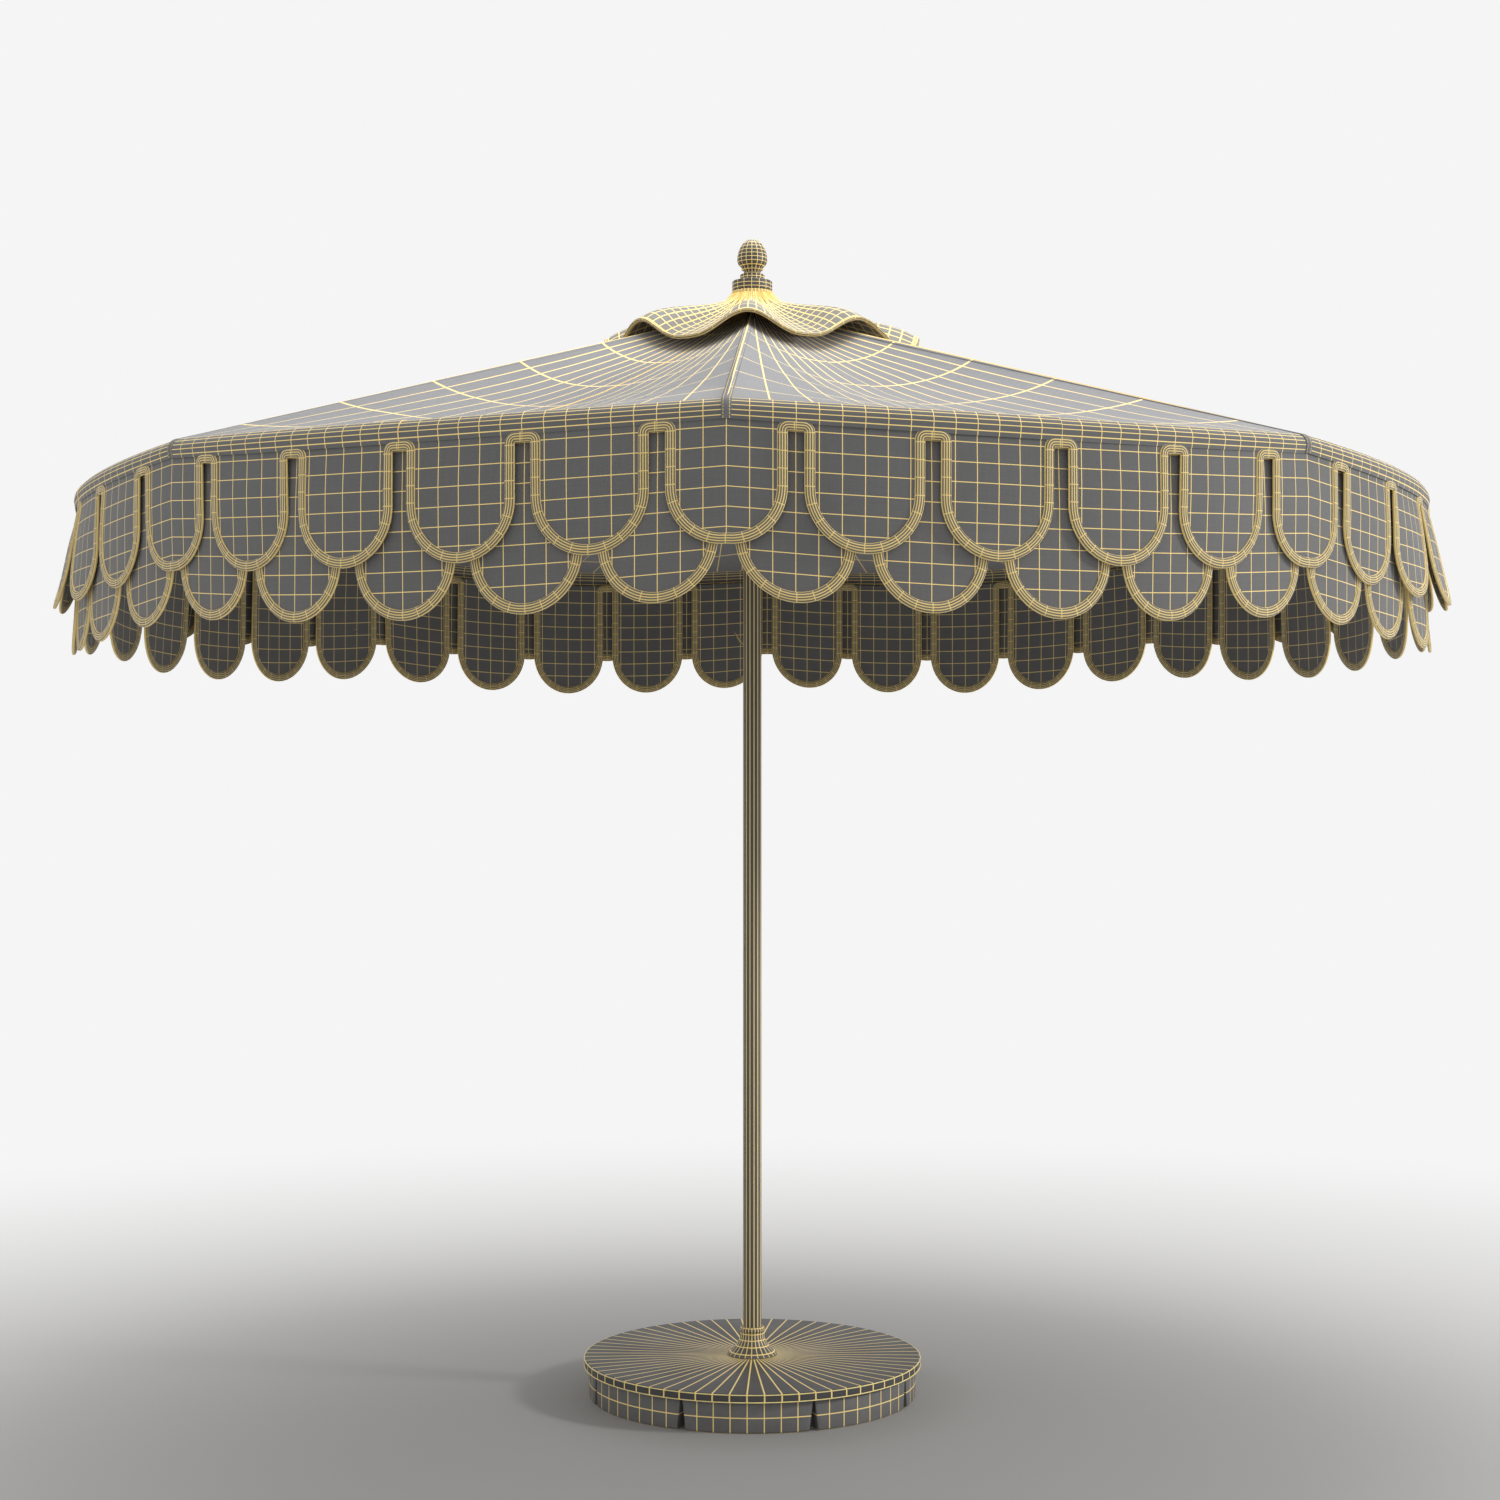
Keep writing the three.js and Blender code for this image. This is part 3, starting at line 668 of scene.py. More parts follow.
def thicken(bm, inside, thickness=CLOTH):
    """Turns the sheet's face away from the point inside, and gives it its thickness."""
    outward = sum(f.normal.dot(f.calc_center_median() - inside) for f in bm.faces)
    if outward < 0:
        bmesh.ops.reverse_faces(bm, faces=bm.faces[:])
    bm.normal_update()
    area = sum(f.calc_area() for f in bm.faces)
    bmesh.ops.solidify(bm, geom=bm.faces[:], thickness=thickness)
    turn_outward(bm)
    return area


print("cloth helpers ready")


# %% Swept tape
def swept_tape(bm, path, profile, place, mapped=0):
    """Adds a tape along path. place(step, a, b) puts the profile's point (a, b) at a step of the path.

    The tape's map holds the length along it and the profile's a (mapped=0) or b (mapped=1)."""
    steps = len(path) - 1
    sides = len(profile)
    lengths = [0.0]
    for first, second in zip(path, path[1:]):
        lengths.append(lengths[-1] + math.dist(first[:2], second[:2]))

    def at(u, v):
        return place(path[round(u * steps)], *profile[round(v * sides) % sides])

    def on_map(u, v):
        return lengths[round(u * steps)], profile[round(v * sides) % sides][mapped]

    made = cloth_grid(bm, steps, sides, at, on_map)
    bmesh.ops.remove_doubles(bm, verts=made, dist=1e-6)
    bmesh.ops.recalc_face_normals(bm, faces=bm.faces[:])
    bmesh.ops.holes_fill(bm, edges=[e for e in bm.edges if e.is_boundary], sides=0)


print("tape helper ready")


# %% Turned work
def spin_round(bm, geometry, steps):
    bmesh.ops.spin(
        bm,
        geom=geometry,
        cent=(0, 0, 0),
        axis=(0, 0, 1),
        angle=math.tau,
        steps=steps,
        use_merge=True,
    )


def spun(outline, segments=96, closed=False):
    """A body of revolution about the mast's axis from (radius, height) points."""
    bm = bmesh.new()
    verts = [bm.verts.new((r, 0.0, z)) for r, z in outline]
    pairs = list(zip(verts, verts[1:]))
    if closed:
        pairs.append((verts[-1], verts[0]))
    edges = [bm.edges.new(pair) for pair in pairs]
    spin_round(bm, verts + edges, segments)
    bmesh.ops.remove_doubles(bm, verts=bm.verts[:], dist=1e-6)
    bmesh.ops.recalc_face_normals(bm, faces=bm.faces[:])
    turn_outward(bm)
    return bm


def round_corners(bm, width, over_degrees=32, segments=2):
    limit = math.radians(over_degrees)
    corners = [e for e in bm.edges if e.is_manifold and e.calc_face_angle() > limit]
    bmesh.ops.bevel(
        bm,
        geom=corners,
        offset=width,
        segments=segments,
        profile=0.5,
        affect="EDGES",
        material=-1,
        clamp_overlap=True,
    )
    return bm


print("lathe helpers ready")

# %% [markdown]
# ### Carving and softening
# A miller would cut slots and notches out of a turned blank, and a Boolean does the same to a spun
# mesh. The exact solver leaves these meshes closed. Parts that the frame already shapes well only
# need their corners rounded, on a merged copy.


# %% Carving and softening
def carved(bm, cutters):
    """bm with the closed shapes in cutters cut out of it."""
    pair = []
    for label, maker in (("body", bm), ("cutter", cutters)):
        mesh = bpy.data.meshes.new(label)
        maker.to_mesh(mesh)
        maker.free()
        pair.append(bpy.data.objects.new(label, mesh))
        scene.collection.objects.link(pair[-1])
    body, cutter = pair
    cut = body.modifiers.new("cut", "BOOLEAN")
    cut.object = cutter
    cut.solver = "EXACT"
    result = bmesh.new()
    evaluated = body.evaluated_get(bpy.context.evaluated_depsgraph_get())
    result.from_mesh(evaluated.to_mesh())
    evaluated.to_mesh_clear()
    for made in pair:
        mesh = made.data
        bpy.data.objects.remove(made)
        bpy.data.meshes.remove(mesh)
    bmesh.ops.remove_doubles(result, verts=result.verts[:], dist=1e-6)
    return result


def softened(node, width):
    """A merged copy of a frame node's mesh with its hard corners rounded."""
    bm = bmesh.new()
    bm.from_mesh(frame["nodes"][node].data)
    bmesh.ops.remove_doubles(bm, verts=bm.verts[:], dist=1e-6)
    bmesh.ops.dissolve_limit(bm, angle_limit=math.radians(1), verts=bm.verts[:], edges=bm.edges[:])
    return round_corners(bm, width)


def block(bm, size, centre, turn=0.0):
    """Adds a box to bm, moved to centre and then turned about the mast's axis."""
    place = Matrix.Rotation(turn, 4, "Z") @ Matrix.Translation(centre) @ Matrix.Diagonal((*size, 1.0))
    return bmesh.ops.create_cube(bm, size=1.0, matrix=place)["verts"]


print("carving helpers ready")

# %% [markdown]
# ## Canopy
# The real canopy is eight triangular gores sewn edge to edge. It hangs on the ribs like a tent: a
# straight ridge over each rib and a sagging valley between. It could be simulated, but a tent under
# tension has a clean shape that a formula gives exactly, so each half gore is a fine grid moved to
# that formula, with slight puckers added. It is divided at each rib's seam and, where nothing shows,
# down the middle of the gore, so that each half rides on its own rib.

# %% Shape of the canopy
ROLL_START = RIM_RADIUS - ROLL_RADIUS * (1 - math.sin(RIB_TILT))
FLAT_SHARE = 52 / 64  # of the 64 rows, 52 lie on the roof, 8 round the rim and 4 down to the seam
ROLL_SHARE = 60 / 64
ROOF_LENGTH = ROLL_START / math.cos(RIB_TILT)
ROLL_LENGTH = ROLL_RADIUS * (math.pi / 2 - RIB_TILT)
BROAD_FOLD = 0.006
FINE_FOLD = 0.0018


def canopy_height(radius, off):
    between = between_ribs(off)
    ridge = APEX_HEIGHT - radius * (SLOPE + RIM_DIP / RIM_RADIUS * between)
    share = max(0.0, (radius - TAUT_RADIUS) / (RIM_RADIUS - TAUT_RADIUS))
    return ridge - 4 * GORE_SAG * share * (1 - share) * between


def slot_top(off):
    return SLOT_TOP - SLOT_TOP_DIP * between_ribs(off)


def canopy_section(off, v):
    """(radius, height, length along the cloth) at share v of the way from the hub to the seam."""
    if v <= FLAT_SHARE:
        radius = lerp(BORE_RADIUS, ROLL_START, v / FLAT_SHARE)
        return radius, canopy_height(radius, off), radius / math.cos(RIB_TILT)
    centre = canopy_height(ROLL_START, off) - ROLL_RADIUS * math.cos(RIB_TILT)
    if v <= ROLL_SHARE:
        share = (v - FLAT_SHARE) / (ROLL_SHARE - FLAT_SHARE)
        angle = (math.pi / 2 - RIB_TILT) * (1 - share)
        radius = RIM_RADIUS - ROLL_RADIUS + ROLL_RADIUS * math.cos(angle)
        return radius, centre + ROLL_RADIUS * math.sin(angle), ROOF_LENGTH + ROLL_LENGTH * share
    share = (v - ROLL_SHARE) / (1 - ROLL_SHARE)
    low = slot_top(off) + SEAM_ABOVE_SLOT
    drop = (centre - low) * share
    return RIM_RADIUS - 0.003 * share, centre - drop, ROOF_LENGTH + ROLL_LENGTH + drop


def pucker(place, off, radius):
    """Small tension folds, nothing at the ribs and the rim."""
    reach = smooth_step(0.15, 0.4, radius) * (1 - smooth_step(1.25, 1.47, radius))
    ripple = noise.noise(Vector((place.x * 3.1, place.y * 3.1, 0.0)))
    fine = noise.noise(Vector((place.x * 9.0, place.y * 9.0, 7.0)))
    return (BROAD_FOLD * ripple + FINE_FOLD * fine) * reach * between_ribs(off)


def canopy_point(azimuth, off, v):
    radius, height, _ = canopy_section(off, v)
    place = polar(radius, azimuth + off, height)
    place.z += pucker(place, off, radius)
    return place


print("canopy runs", round(ROOF_LENGTH, 3), "m from hub to rim")

# %% [markdown]
# ### How the cloth would fold away
# When the parasol shuts, the cloth gathers beside each rib: a half gore flattens towards its rib as
# the rib folds, leaning a little downwards, as the cloth does, so that the gathered cloth keeps clear
# of the mast. The sizes of that fold are set here, but nothing applies them: the helper below only
# gives a piece a mesh of its own.

# %% Fold sizes and a mesh-copy helper
FOLDED_SHARE = 0.09
FOLDED_PLEAT = 0.12  # a folded scallop is this share of its width
SAG_LEAN = math.radians(9)


def fold_to_rib(piece):
    """Gives the piece a mesh of its own; it isn't flattened towards its rib."""
    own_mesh(piece)


print("cloth folds to", FOLDED_SHARE, "of its width")


# %% Half gores
GORE_COLUMNS = 26
GORE_ROWS = 64


def make_half_gore(number, side):
    azimuth = rib_azimuth(number)
    bm = bmesh.new()
    cloth_grid(
        bm,
        GORE_COLUMNS,
        GORE_ROWS,
        lambda u, v: canopy_point(azimuth, side * u * GORE / 2, v),
        lambda u, v: (side * u / 2, canopy_section(0.0, v)[2]),
    )
    area = thicken(bm, Vector((0, 0, 1.0)))
    label = "left" if side > 0 else "right"
    piece = make_piece(f"canopy_{label}_{number}", bm, f"rib_{number}", canopy_cloth, 50)
    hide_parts(f"canopy_{number}")
    fold_to_rib(piece)
    return piece, area


half_gores = [make_half_gore(number, side) for number in range(1, RIBS + 1) for side in (-1, 1)]
print(len(half_gores), "half gores of", round(half_gores[0][1], 3), "square metres")

# %% [markdown]
# ### Ridge seams
# Where two gores meet over a rib, the seam is covered by a narrow tape with two rows of stitching.
# It is a swept strip that follows the ridge from the hub, over the rim and down to the valance.

# %% Ridge seams
SEAM_PROFILE = [
    (-0.009, 0.0),
    (-0.008, 0.0011),
    (0.008, 0.0011),
    (0.009, 0.0),
    (0.008, -0.0009),
    (-0.008, -0.0009),
]


def make_ridge_seam(number):
    azimuth = rib_azimuth(number)
    path = [canopy_section(0.0, i / 64) for i in range(2, 65)]

    def place(step, a, b):
        radius, height, length = step
        roll = smooth_step(ROOF_LENGTH, ROOF_LENGTH + ROLL_LENGTH, length)
        tilt = lerp(math.pi / 2 - RIB_TILT, 0.0, roll)
        off = math.atan2(a, max(radius, 0.03))
        here = canopy_height(radius, off) - canopy_height(radius, 0.0) if roll == 0 else 0.0
        lifted = 0.0007 + b
        out, up = lifted * math.cos(tilt), lifted * math.sin(tilt)
        return polar(radius + out, azimuth + off, height + here + up)

    bm = bmesh.new()
    swept_tape(bm, path, SEAM_PROFILE, place)
    turn_outward(bm)
    return make_piece(f"ridge_seam_{number}", bm, f"rib_{number}", stitched_seam, 60)


ridge_seams = [make_ridge_seam(number) for number in range(1, RIBS + 1)]
print(len(ridge_seams), "ridge seams of", len(ridge_seams[0].data.polygons), "faces")

# %% [markdown]
# ## Valance
# Two layers of scallops hang from the rim: forty short ones outside and forty longer ones inside,
# half a step round, so that each inner scallop shows in the gap below two outer ones. The real cloth
# is one row of tongues with narrow slots between them. Here each tongue is a piece of its own, with
# its bit of the strip that joins them, so that it can follow the rim when the parasol shuts. It is a
# grid whose columns end on the rounded outline. The tongues hang a little unevenly, as cloth does,
# and the ones at the parasol's two sides swing outwards.

# %% Shape of the valance
PITCH_ANGLE = math.tau / SCALLOPS
PITCH = RIM_RADIUS * PITCH_ANGLE
PER_GORE = SCALLOPS // RIBS
TONGUE_HALF = 0.0985
# Each layer: the radius at its top, the radii at its foot (front and sides), how far it drops, how
# much further it drops between two ribs, and where its first scallop stands, in steps from the rib.
OUTER = {
    "name": "outer",
    "top": 1.4955,
    "low": (1.490, 1.537),
    "drop": 0.197,
    "extra": 0.002,
    "first": -2.0,
}
INNER = {
    "name": "inner",
    "top": 1.4850,
    "low": (1.482, 1.497),
    "drop": 0.284,
    "extra": 0.009,
    "first": -1.5,
}
SWAY = 0.004  # how far a scallop's foot swings in or out
CROWN = 0.004  # how far its middle stands proud of its edges


def hang(layer, azimuth, x, y, out):
    """Where a point of the flat valance hangs: x along the rim from a rib, y up from the slots' top."""
    off = x / RIM_RADIUS
    folded = from_nearest_rib(off)
    fall = max(0.0, -y) / layer["drop"]
    turn = azimuth + off
    beside = smooth_step(0.80, 0.985, abs(math.cos(turn)))
    low = lerp(*layer["low"], beside)
    number = math.floor(turn / PITCH_ANGLE + layer["first"] % 1 + 0.5)
    sway = SWAY * math.sin(2.4 * number) * fall
    across = turn / PITCH_ANGLE + layer["first"] % 1 - number
    crown = CROWN * (0.25 - across * across) * 4 * min(1.0, 3 * fall)
    radius = lerp(layer["top"], low, fall) + sway + crown + out
    height = slot_top(folded) + y - layer["extra"] * fall * between_ribs(folded)
    return polar(radius, turn, height)


def tongue_length(layer, x):
    """How far the tongue's outline hangs below the slots' top, at x from its middle line."""
    side = layer["drop"] - 0.002 - TONGUE_HALF
    return side + TONGUE_HALF * math.sqrt(max(0.0, 1 - (x / TONGUE_HALF) ** 2))


print("scallops stand", round(PITCH * 1000), "mm apart")


# %% Valance cloth
TONGUE_COLUMNS = 16
STRIP_HEIGHT = 0.014


def tongue_x(u):
    """Columns stand closer together near the tongue's sides, where its outline is steep."""
    return -TONGUE_HALF * math.cos(math.pi * u)


def tongue_y(layer, u, v):
    return (v - 1) * tongue_length(layer, tongue_x(u))


def strip_x(u):
    """Columns of the top strip: those of the tongue, and one more out in the middle of each slot."""
    column = round(u * (TONGUE_COLUMNS + 2))
    if column in (0, TONGUE_COLUMNS + 2):
        return math.copysign(PITCH / 2, u - 0.5)
    return tongue_x((column - 1) / TONGUE_COLUMNS)


def make_scallop(layer, number, middle, name):
    azimuth = rib_azimuth(number)
    bm = bmesh.new()
    cloth_grid(
        bm,
        TONGUE_COLUMNS + 2,
        2,
        lambda u, v: hang(layer, azimuth, middle + strip_x(u), v * STRIP_HEIGHT, 0.0),
        lambda u, v: (strip_x(u), v * STRIP_HEIGHT),
    )
    cloth_grid(
        bm,
        TONGUE_COLUMNS,
        14,
        lambda u, v: hang(layer, azimuth, middle + tongue_x(u), tongue_y(layer, u, v), 0.0),
        lambda u, v: (tongue_x(u), tongue_y(layer, u, v)),
    )
    bmesh.ops.remove_doubles(bm, verts=bm.verts[:], dist=1e-5)
    area = thicken(bm, Vector((0, 0, 1.85)))
    piece = make_piece(f"valance_{name}", bm, f"valance_{number}", valance_cloth, 50)
    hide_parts(f"valance_{number}")
    return piece, area


print("scallop cloth helper ready")

# %% [markdown]
# ### Binding
# Every raw edge is bound: a braid wraps over it, runs down one side of a tongue, round its bottom,
# up the other side and over the slot to the next. It is a swept tape, cut in the middle of each slot
# so that every scallop has its own. Its profile is a flat oval that encloses the cloth's edge, and
# each of its points is hung with the cloth, so it never leaves it.

# %% Path of the binding on the flat cloth
EDGE_HALF = 0.1035  # from a tongue's middle line to the binding's outer edge
CENTRE_HALF = EDGE_HALF - TAPE_WIDTH / 2
ARCH_TOP = 0.009
ARCH_RADIUS = 0.0105


def tape_path(layer, middle):
    """Points (x, y, direction to the free edge) from one slot's middle round a tongue to the next."""
    side = layer["drop"] + 0.002 - EDGE_HALF
    down = [(-PITCH / 2, ARCH_TOP, 0.0, -1.0)]
    for i in range(5):
        angle = math.pi / 2 * (1 - i / 4)
        corner_x, corner_y = -CENTRE_HALF - ARCH_RADIUS, ARCH_TOP - ARCH_RADIUS
        c, s = math.cos(angle), math.sin(angle)
        down.append((corner_x + ARCH_RADIUS * c, corner_y + ARCH_RADIUS * s, -c, -s))
    for i in range(1, 6):
        down.append((-CENTRE_HALF, lerp(ARCH_TOP - ARCH_RADIUS, -side, i / 6), -1.0, 0.0))
    for i in range(12):
        angle = math.pi + math.pi / 2 * i / 12
        c, s = math.cos(angle), math.sin(angle)
        down.append((CENTRE_HALF * c, -side + CENTRE_HALF * s, c, s))
    bottom = [(0.0, -side - CENTRE_HALF, 0.0, -1.0)]
    up = [(-x, y, -across, along) for x, y, across, along in reversed(down)]
    return [(middle + x, y, across, along) for x, y, across, along in down + bottom + up]


TAPE_PROFILE = [
    (-0.0090, 0.0008),
    (-0.0080, 0.0028),
    (-0.0030, 0.0036),
    (0.0030, 0.0036),
    (0.0078, 0.0030),
    (0.0092, 0.0010),
    (0.0092, -0.0014),
    (0.0078, -0.0030),
    (-0.0076, -0.0030),
    (-0.0090, -0.0016),
]
print("binding runs", len(tape_path(OUTER, 0.0)), "steps round a scallop")


# %% Binding tapes
def make_binding(layer, number, middle, name):
    azimuth = rib_azimuth(number)

    def place(step, a, b):
        x, y, across, along = step
        return hang(layer, azimuth, x + a * across, y + a * along, b)

    bm = bmesh.new()
    swept_tape(bm, tape_path(layer, middle), TAPE_PROFILE, place)
    turn_outward(bm)
    return make_piece(f"binding_{name}", bm, f"valance_{number}", gold_binding, 60)


print("binding helper ready")

# %% [markdown]
# ### Where the scallops would gather
# When the parasol shuts, the rim between two ribs is drawn up and in, because it is nearer the hub
# than the ribs' tips are. For each scallop the code works out how far the point of the rim that it
# hangs from would move, and a fold aimed so that the scallop's top would land there as it narrows
# to a pleat. The fold isn't applied: each scallop and its binding only get a mesh of their own.

# %% Scallops and bindings given meshes of their own
FOLD_ANGLE = math.radians(rib_fold["range_deg"][1])


def gather(piece, number, middle):
    azimuth = rib_azimuth(number)
    off = middle / RIM_RADIUS
    outward = polar(1, azimuth, 0)
    sideways = polar(1, azimuth + math.pi / 2, 0)
    upward = Vector((0, 0, 1))
    aside = RIM_RADIUS * math.sin(off)
    inward = RIM_RADIUS * (1 - math.cos(off))
    dip = (SLOT_TOP_DIP + RIM_DIP) / 2 * between_ribs(off)
    lifted = (1 - FOLDED_SHARE) * abs(aside) * math.cos(SAG_LEAN) * math.sin(SAG_LEAN)
    steep = FOLD_ANGLE + RIB_TILT
    new_aside = aside * (1 - (1 - FOLDED_SHARE) * math.cos(SAG_LEAN) ** 2)
    new_out = -inward * math.cos(FOLD_ANGLE) - dip * math.sin(FOLD_ANGLE) + lifted * math.sin(steep)
    new_up = inward * math.sin(FOLD_ANGLE) - dip * math.cos(FOLD_ANGLE) + lifted * math.cos(steep)
    shift = sideways * (new_aside - aside) + outward * (new_out + inward) + upward * (new_up + dip)
    top = hang(OUTER, azimuth, middle, 0.0, 0.0)
    if shift.length < 1e-3:
        axis, anchor = sideways, top
    else:
        axis = -shift.normalized()
        anchor = top - axis * shift.length / (1 - FOLDED_PLEAT)
    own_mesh(piece)


for layer in (OUTER, INNER):
    for number in range(1, RIBS + 1):
        for k in range(PER_GORE):
            middle = (layer["first"] + k) * PITCH
            name = f"{layer['name']}_{number}_{k + 1}"
            scallop, area = make_scallop(layer, number, middle, name)
            binding = make_binding(layer, number, middle, name)
            gather(scallop, number, middle)
            gather(binding, number, middle)
print(2 * SCALLOPS, "scallops hung and bound")

# %% [markdown]
# ## Vent cap
# A second little roof covers the opening at the top and lets the wind out. It is gathered to a neck
# under the finial and falls in eight waves, with its crests over the ribs. Its edge has a thick bound
# hem. As on the canopy, a formula gives the waves, and each sector is made in two parts: a shoulder
# next to the neck, on no body, and a skirt that rides on the rib and folds with it.

# %% Shape of the cap
CAP_INNER = 0.0475
CAP_OUTER = 0.342
CAP_TOP = 2.508
CREST_DROP = 0.072
CREST_CURL = 0.028  # how far the crest's edge curls down
TROUGH_DROP = 0.152


def cap_point(azimuth, off, reach, lift=0.0, out=0.0):
    """A point of the cap at a share of the way from its neck to its edge."""
    turn = azimuth + off
    longer = 0.034 * smooth_step(0.55, 1.0, math.cos(turn)) + 0.006 * math.sin(3 * turn + 1.0)
    radius = lerp(CAP_INNER, CAP_OUTER + longer, reach) + out
    crest = (0.5 + 0.5 * math.cos(RIBS * off)) ** 1.35
    trough = TROUGH_DROP + 0.004 * math.sin(2 * turn + 0.6)
    drop = lerp(trough * reach**0.75, CREST_DROP * reach**0.55 + CREST_CURL * reach**7, crest)
    gather = 0.0022 * math.cos(RIBS * 9 * off) * (1 - smooth_step(0.0, 0.22, reach))
    return polar(radius + gather, turn, CAP_TOP - drop + lift + gather)


def cap_length(reach):
    return 0.03 + reach * math.hypot(CAP_OUTER - CAP_INNER, (CREST_DROP + TROUGH_DROP) / 2)


print("cap falls", round(TROUGH_DROP, 3), "m at its waves' lowest")


# %% Cap sectors and their hems
SHOULDER_END = 0.28  # share of the way down where the shoulder ends and the skirt starts
HEM = 0.0055
HEM_PROFILE = [(HEM * math.cos(a * math.pi / 6), HEM * math.sin(a * math.pi / 6)) for a in range(12)]
HEM_RAIL_PITCH = 0.0044
cap_hem_braid = binding_material("cap hem braid", HEM_RAIL_PITCH, 1, BINDING_GREY)


def make_cap_sector(number, start, end, rows):
    """Part of a sector, from one share of the way down the cap to another."""
    azimuth = rib_azimuth(number)
    bm = bmesh.new()
    cloth_grid(
        bm,
        56,
        rows,
        lambda u, v: cap_point(azimuth, (u - 0.5) * GORE, lerp(start, end, v)),
        lambda u, v: (u - 0.5, cap_length(lerp(start, end, v))),
    )
    return bm, thicken(bm, Vector((0, 0, 2.2)))


def make_cap_skirt(number):
    bm, area = make_cap_sector(number, SHOULDER_END, 1.0, 22)
    piece = make_piece(f"cap_skirt_{number}", bm, f"rib_{number}", cap_cloth, 60)
    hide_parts(f"cap_{number}")
    return piece, area


def make_cap_shoulder(number):
    """The part next to the neck, baked in place and left on no body."""
    bm, area = make_cap_sector(number, 0.0, SHOULDER_END, 10)
    piece = make_piece(f"cap_shoulder_{number}", bm, None, cap_cloth, 60)
    azimuth = rib_azimuth(number)
    inner, outer = (lerp(CAP_INNER, CAP_OUTER, SHOULDER_END * share) for share in (0.0, 0.9))
    height = hub_pivot.z + 0.03
    start, end = polar(inner, azimuth, height), polar(outer, azimuth, height)
    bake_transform(piece)
    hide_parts(f"cap_{number}")
    return piece


def make_cap_hem(number):
    azimuth = rib_azimuth(number)
    path = [((i / 56 - 0.5) * GORE * CAP_OUTER, 0.0) for i in range(57)]

    def place(step, a, b):
        return cap_point(azimuth, step[0] / CAP_OUTER, 1.0, lift=b * 0.8, out=a - 0.002)

    bm = bmesh.new()
    swept_tape(bm, path, HEM_PROFILE, place, mapped=1)
    turn_outward(bm)
    return make_piece(f"cap_hem_{number}", bm, f"rib_{number}", cap_hem_braid, 60)


for number in range(1, RIBS + 1):
    make_cap_shoulder(number)
    skirt, area = make_cap_skirt(number)
    hem = make_cap_hem(number)
    for folding in (skirt, hem):
        fold_to_rib(folding)
print(RIBS, "cap sectors with bound hems")

# %% [markdown]
# ## Finial, neck and mast
# These are turned pieces. The neck is the gathered top of the cap, tied round the hub, so its surface
# has fine pleats. The finial is an egg on a waisted stem over two discs. The outlines below are half
# sections, spun round the axis.


# %% Arcs and the egg finial
def arc(centre_radius, centre_height, across, up, start, end, steps):
    """Points of an elliptical arc, angles in degrees from the outward direction."""
    points = []
    for i in range(steps + 1):
        angle = math.radians(lerp(start, end, i / steps))
        points.append((centre_radius + across * math.cos(angle), centre_height + up * math.sin(angle)))
    return points


FINIAL_LOW, FINIAL_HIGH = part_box("finial")
finial_outline = [
    (0.0, FINIAL_LOW.z),
    (0.0185, FINIAL_LOW.z),
    (0.0185, 2.520),
    (0.044, 2.520),
    *arc(0.0440, 2.5225, 0.002, 0.0025, -60, 0, 2),
    *arc(0.0440, 2.5405, 0.002, 0.0025, 0, 90, 3),
    (0.030, 2.5445),
    (0.028, 2.547),
    (0.028, 2.556),
    *arc(0.0265, 2.557, 0.0015, 0.0015, 0, 90, 2),
    *arc(0.0265, 2.5645, 0.0075, 0.0055, -100, -260, 8),
    *arc(0.0, 2.592, 0.0345, 0.024, -47, 0, 8),
    *arc(0.0, 2.592, 0.0345, FINIAL_HIGH.z - 2.592, 0, 90, 18)[1:-1],
    (0.0, FINIAL_HIGH.z),
]
finial_maker = spun(finial_outline, 64)
finial_piece = make_piece("egg_finial", finial_maker, "finial", finial_paint, 42)
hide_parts("finial")
print("finial stands", round(FINIAL_HIGH.z - 2.52, 3), "m above the cap")

# %% [markdown]
# ### Gathered neck
# The top of the cap is drawn up and tied. Its pleats are in the shape: a spun ring is waved in and
# out 36 times. The finish paints shade into the same folds, so the painted shade and the shape agree.


# %% Gathered neck
def pleat_shade_material():
    """Gold cloth with painted shade in the folds between its pleats."""
    material, tree, shader = start_material("gathered gold", roughness=0.8)
    place = add_node(tree, "TexCoord").outputs["Object"]
    parts = add_node(tree, "SeparateXYZ", {0: place})
    azimuth = calculate(tree, "ARCTAN2", parts.outputs[1], parts.outputs[0])
    # Painted shade: a wave that follows the pleats makes the gold darker in the folds.
    wave = calculate(tree, "COSINE", calculate(tree, "MULTIPLY", azimuth, float(PLEATS)))
    yarn = add_node(tree, "TexNoise", {"Vector": place, "Scale": 700.0, "Detail": 2.0})
    tone = calculate(tree, "MULTIPLY_ADD", wave, 0.35, yarn.outputs[0], clamp=True)
    tree.links.new(shade(tree, STRAW_GOLD, tone, 0.4, 0.9), shader.inputs["Base Color"])
    raise_surface(tree, shader, yarn.outputs[0], 0.0004)
    return material


PLEATS = 36
pleated_gold = pleat_shade_material()
neck_outline = [
    (0.025, 2.490),
    (0.044, 2.490),
    (0.0475, 2.4965),
    (0.0490, 2.508),
    *arc(0.0440, 2.5120, 0.0040, 0.0076, 0, 90, 5),
    (0.025, 2.5196),
]
neck_maker = spun(neck_outline, 144, closed=True)
for vert in neck_maker.verts:
    spread = math.hypot(vert.co.x, vert.co.y)
    if spread > 0.03:
        pleat = 1 + 0.022 * math.cos(PLEATS * math.atan2(vert.co.y, vert.co.x))
        vert.co.x *= pleat
        vert.co.y *= pleat
gathered_neck = make_piece("gathered_neck", neck_maker, "mast", pleated_gold, 60)
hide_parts("cap_neck")
print("neck has", len(gathered_neck.data.polygons), "faces")

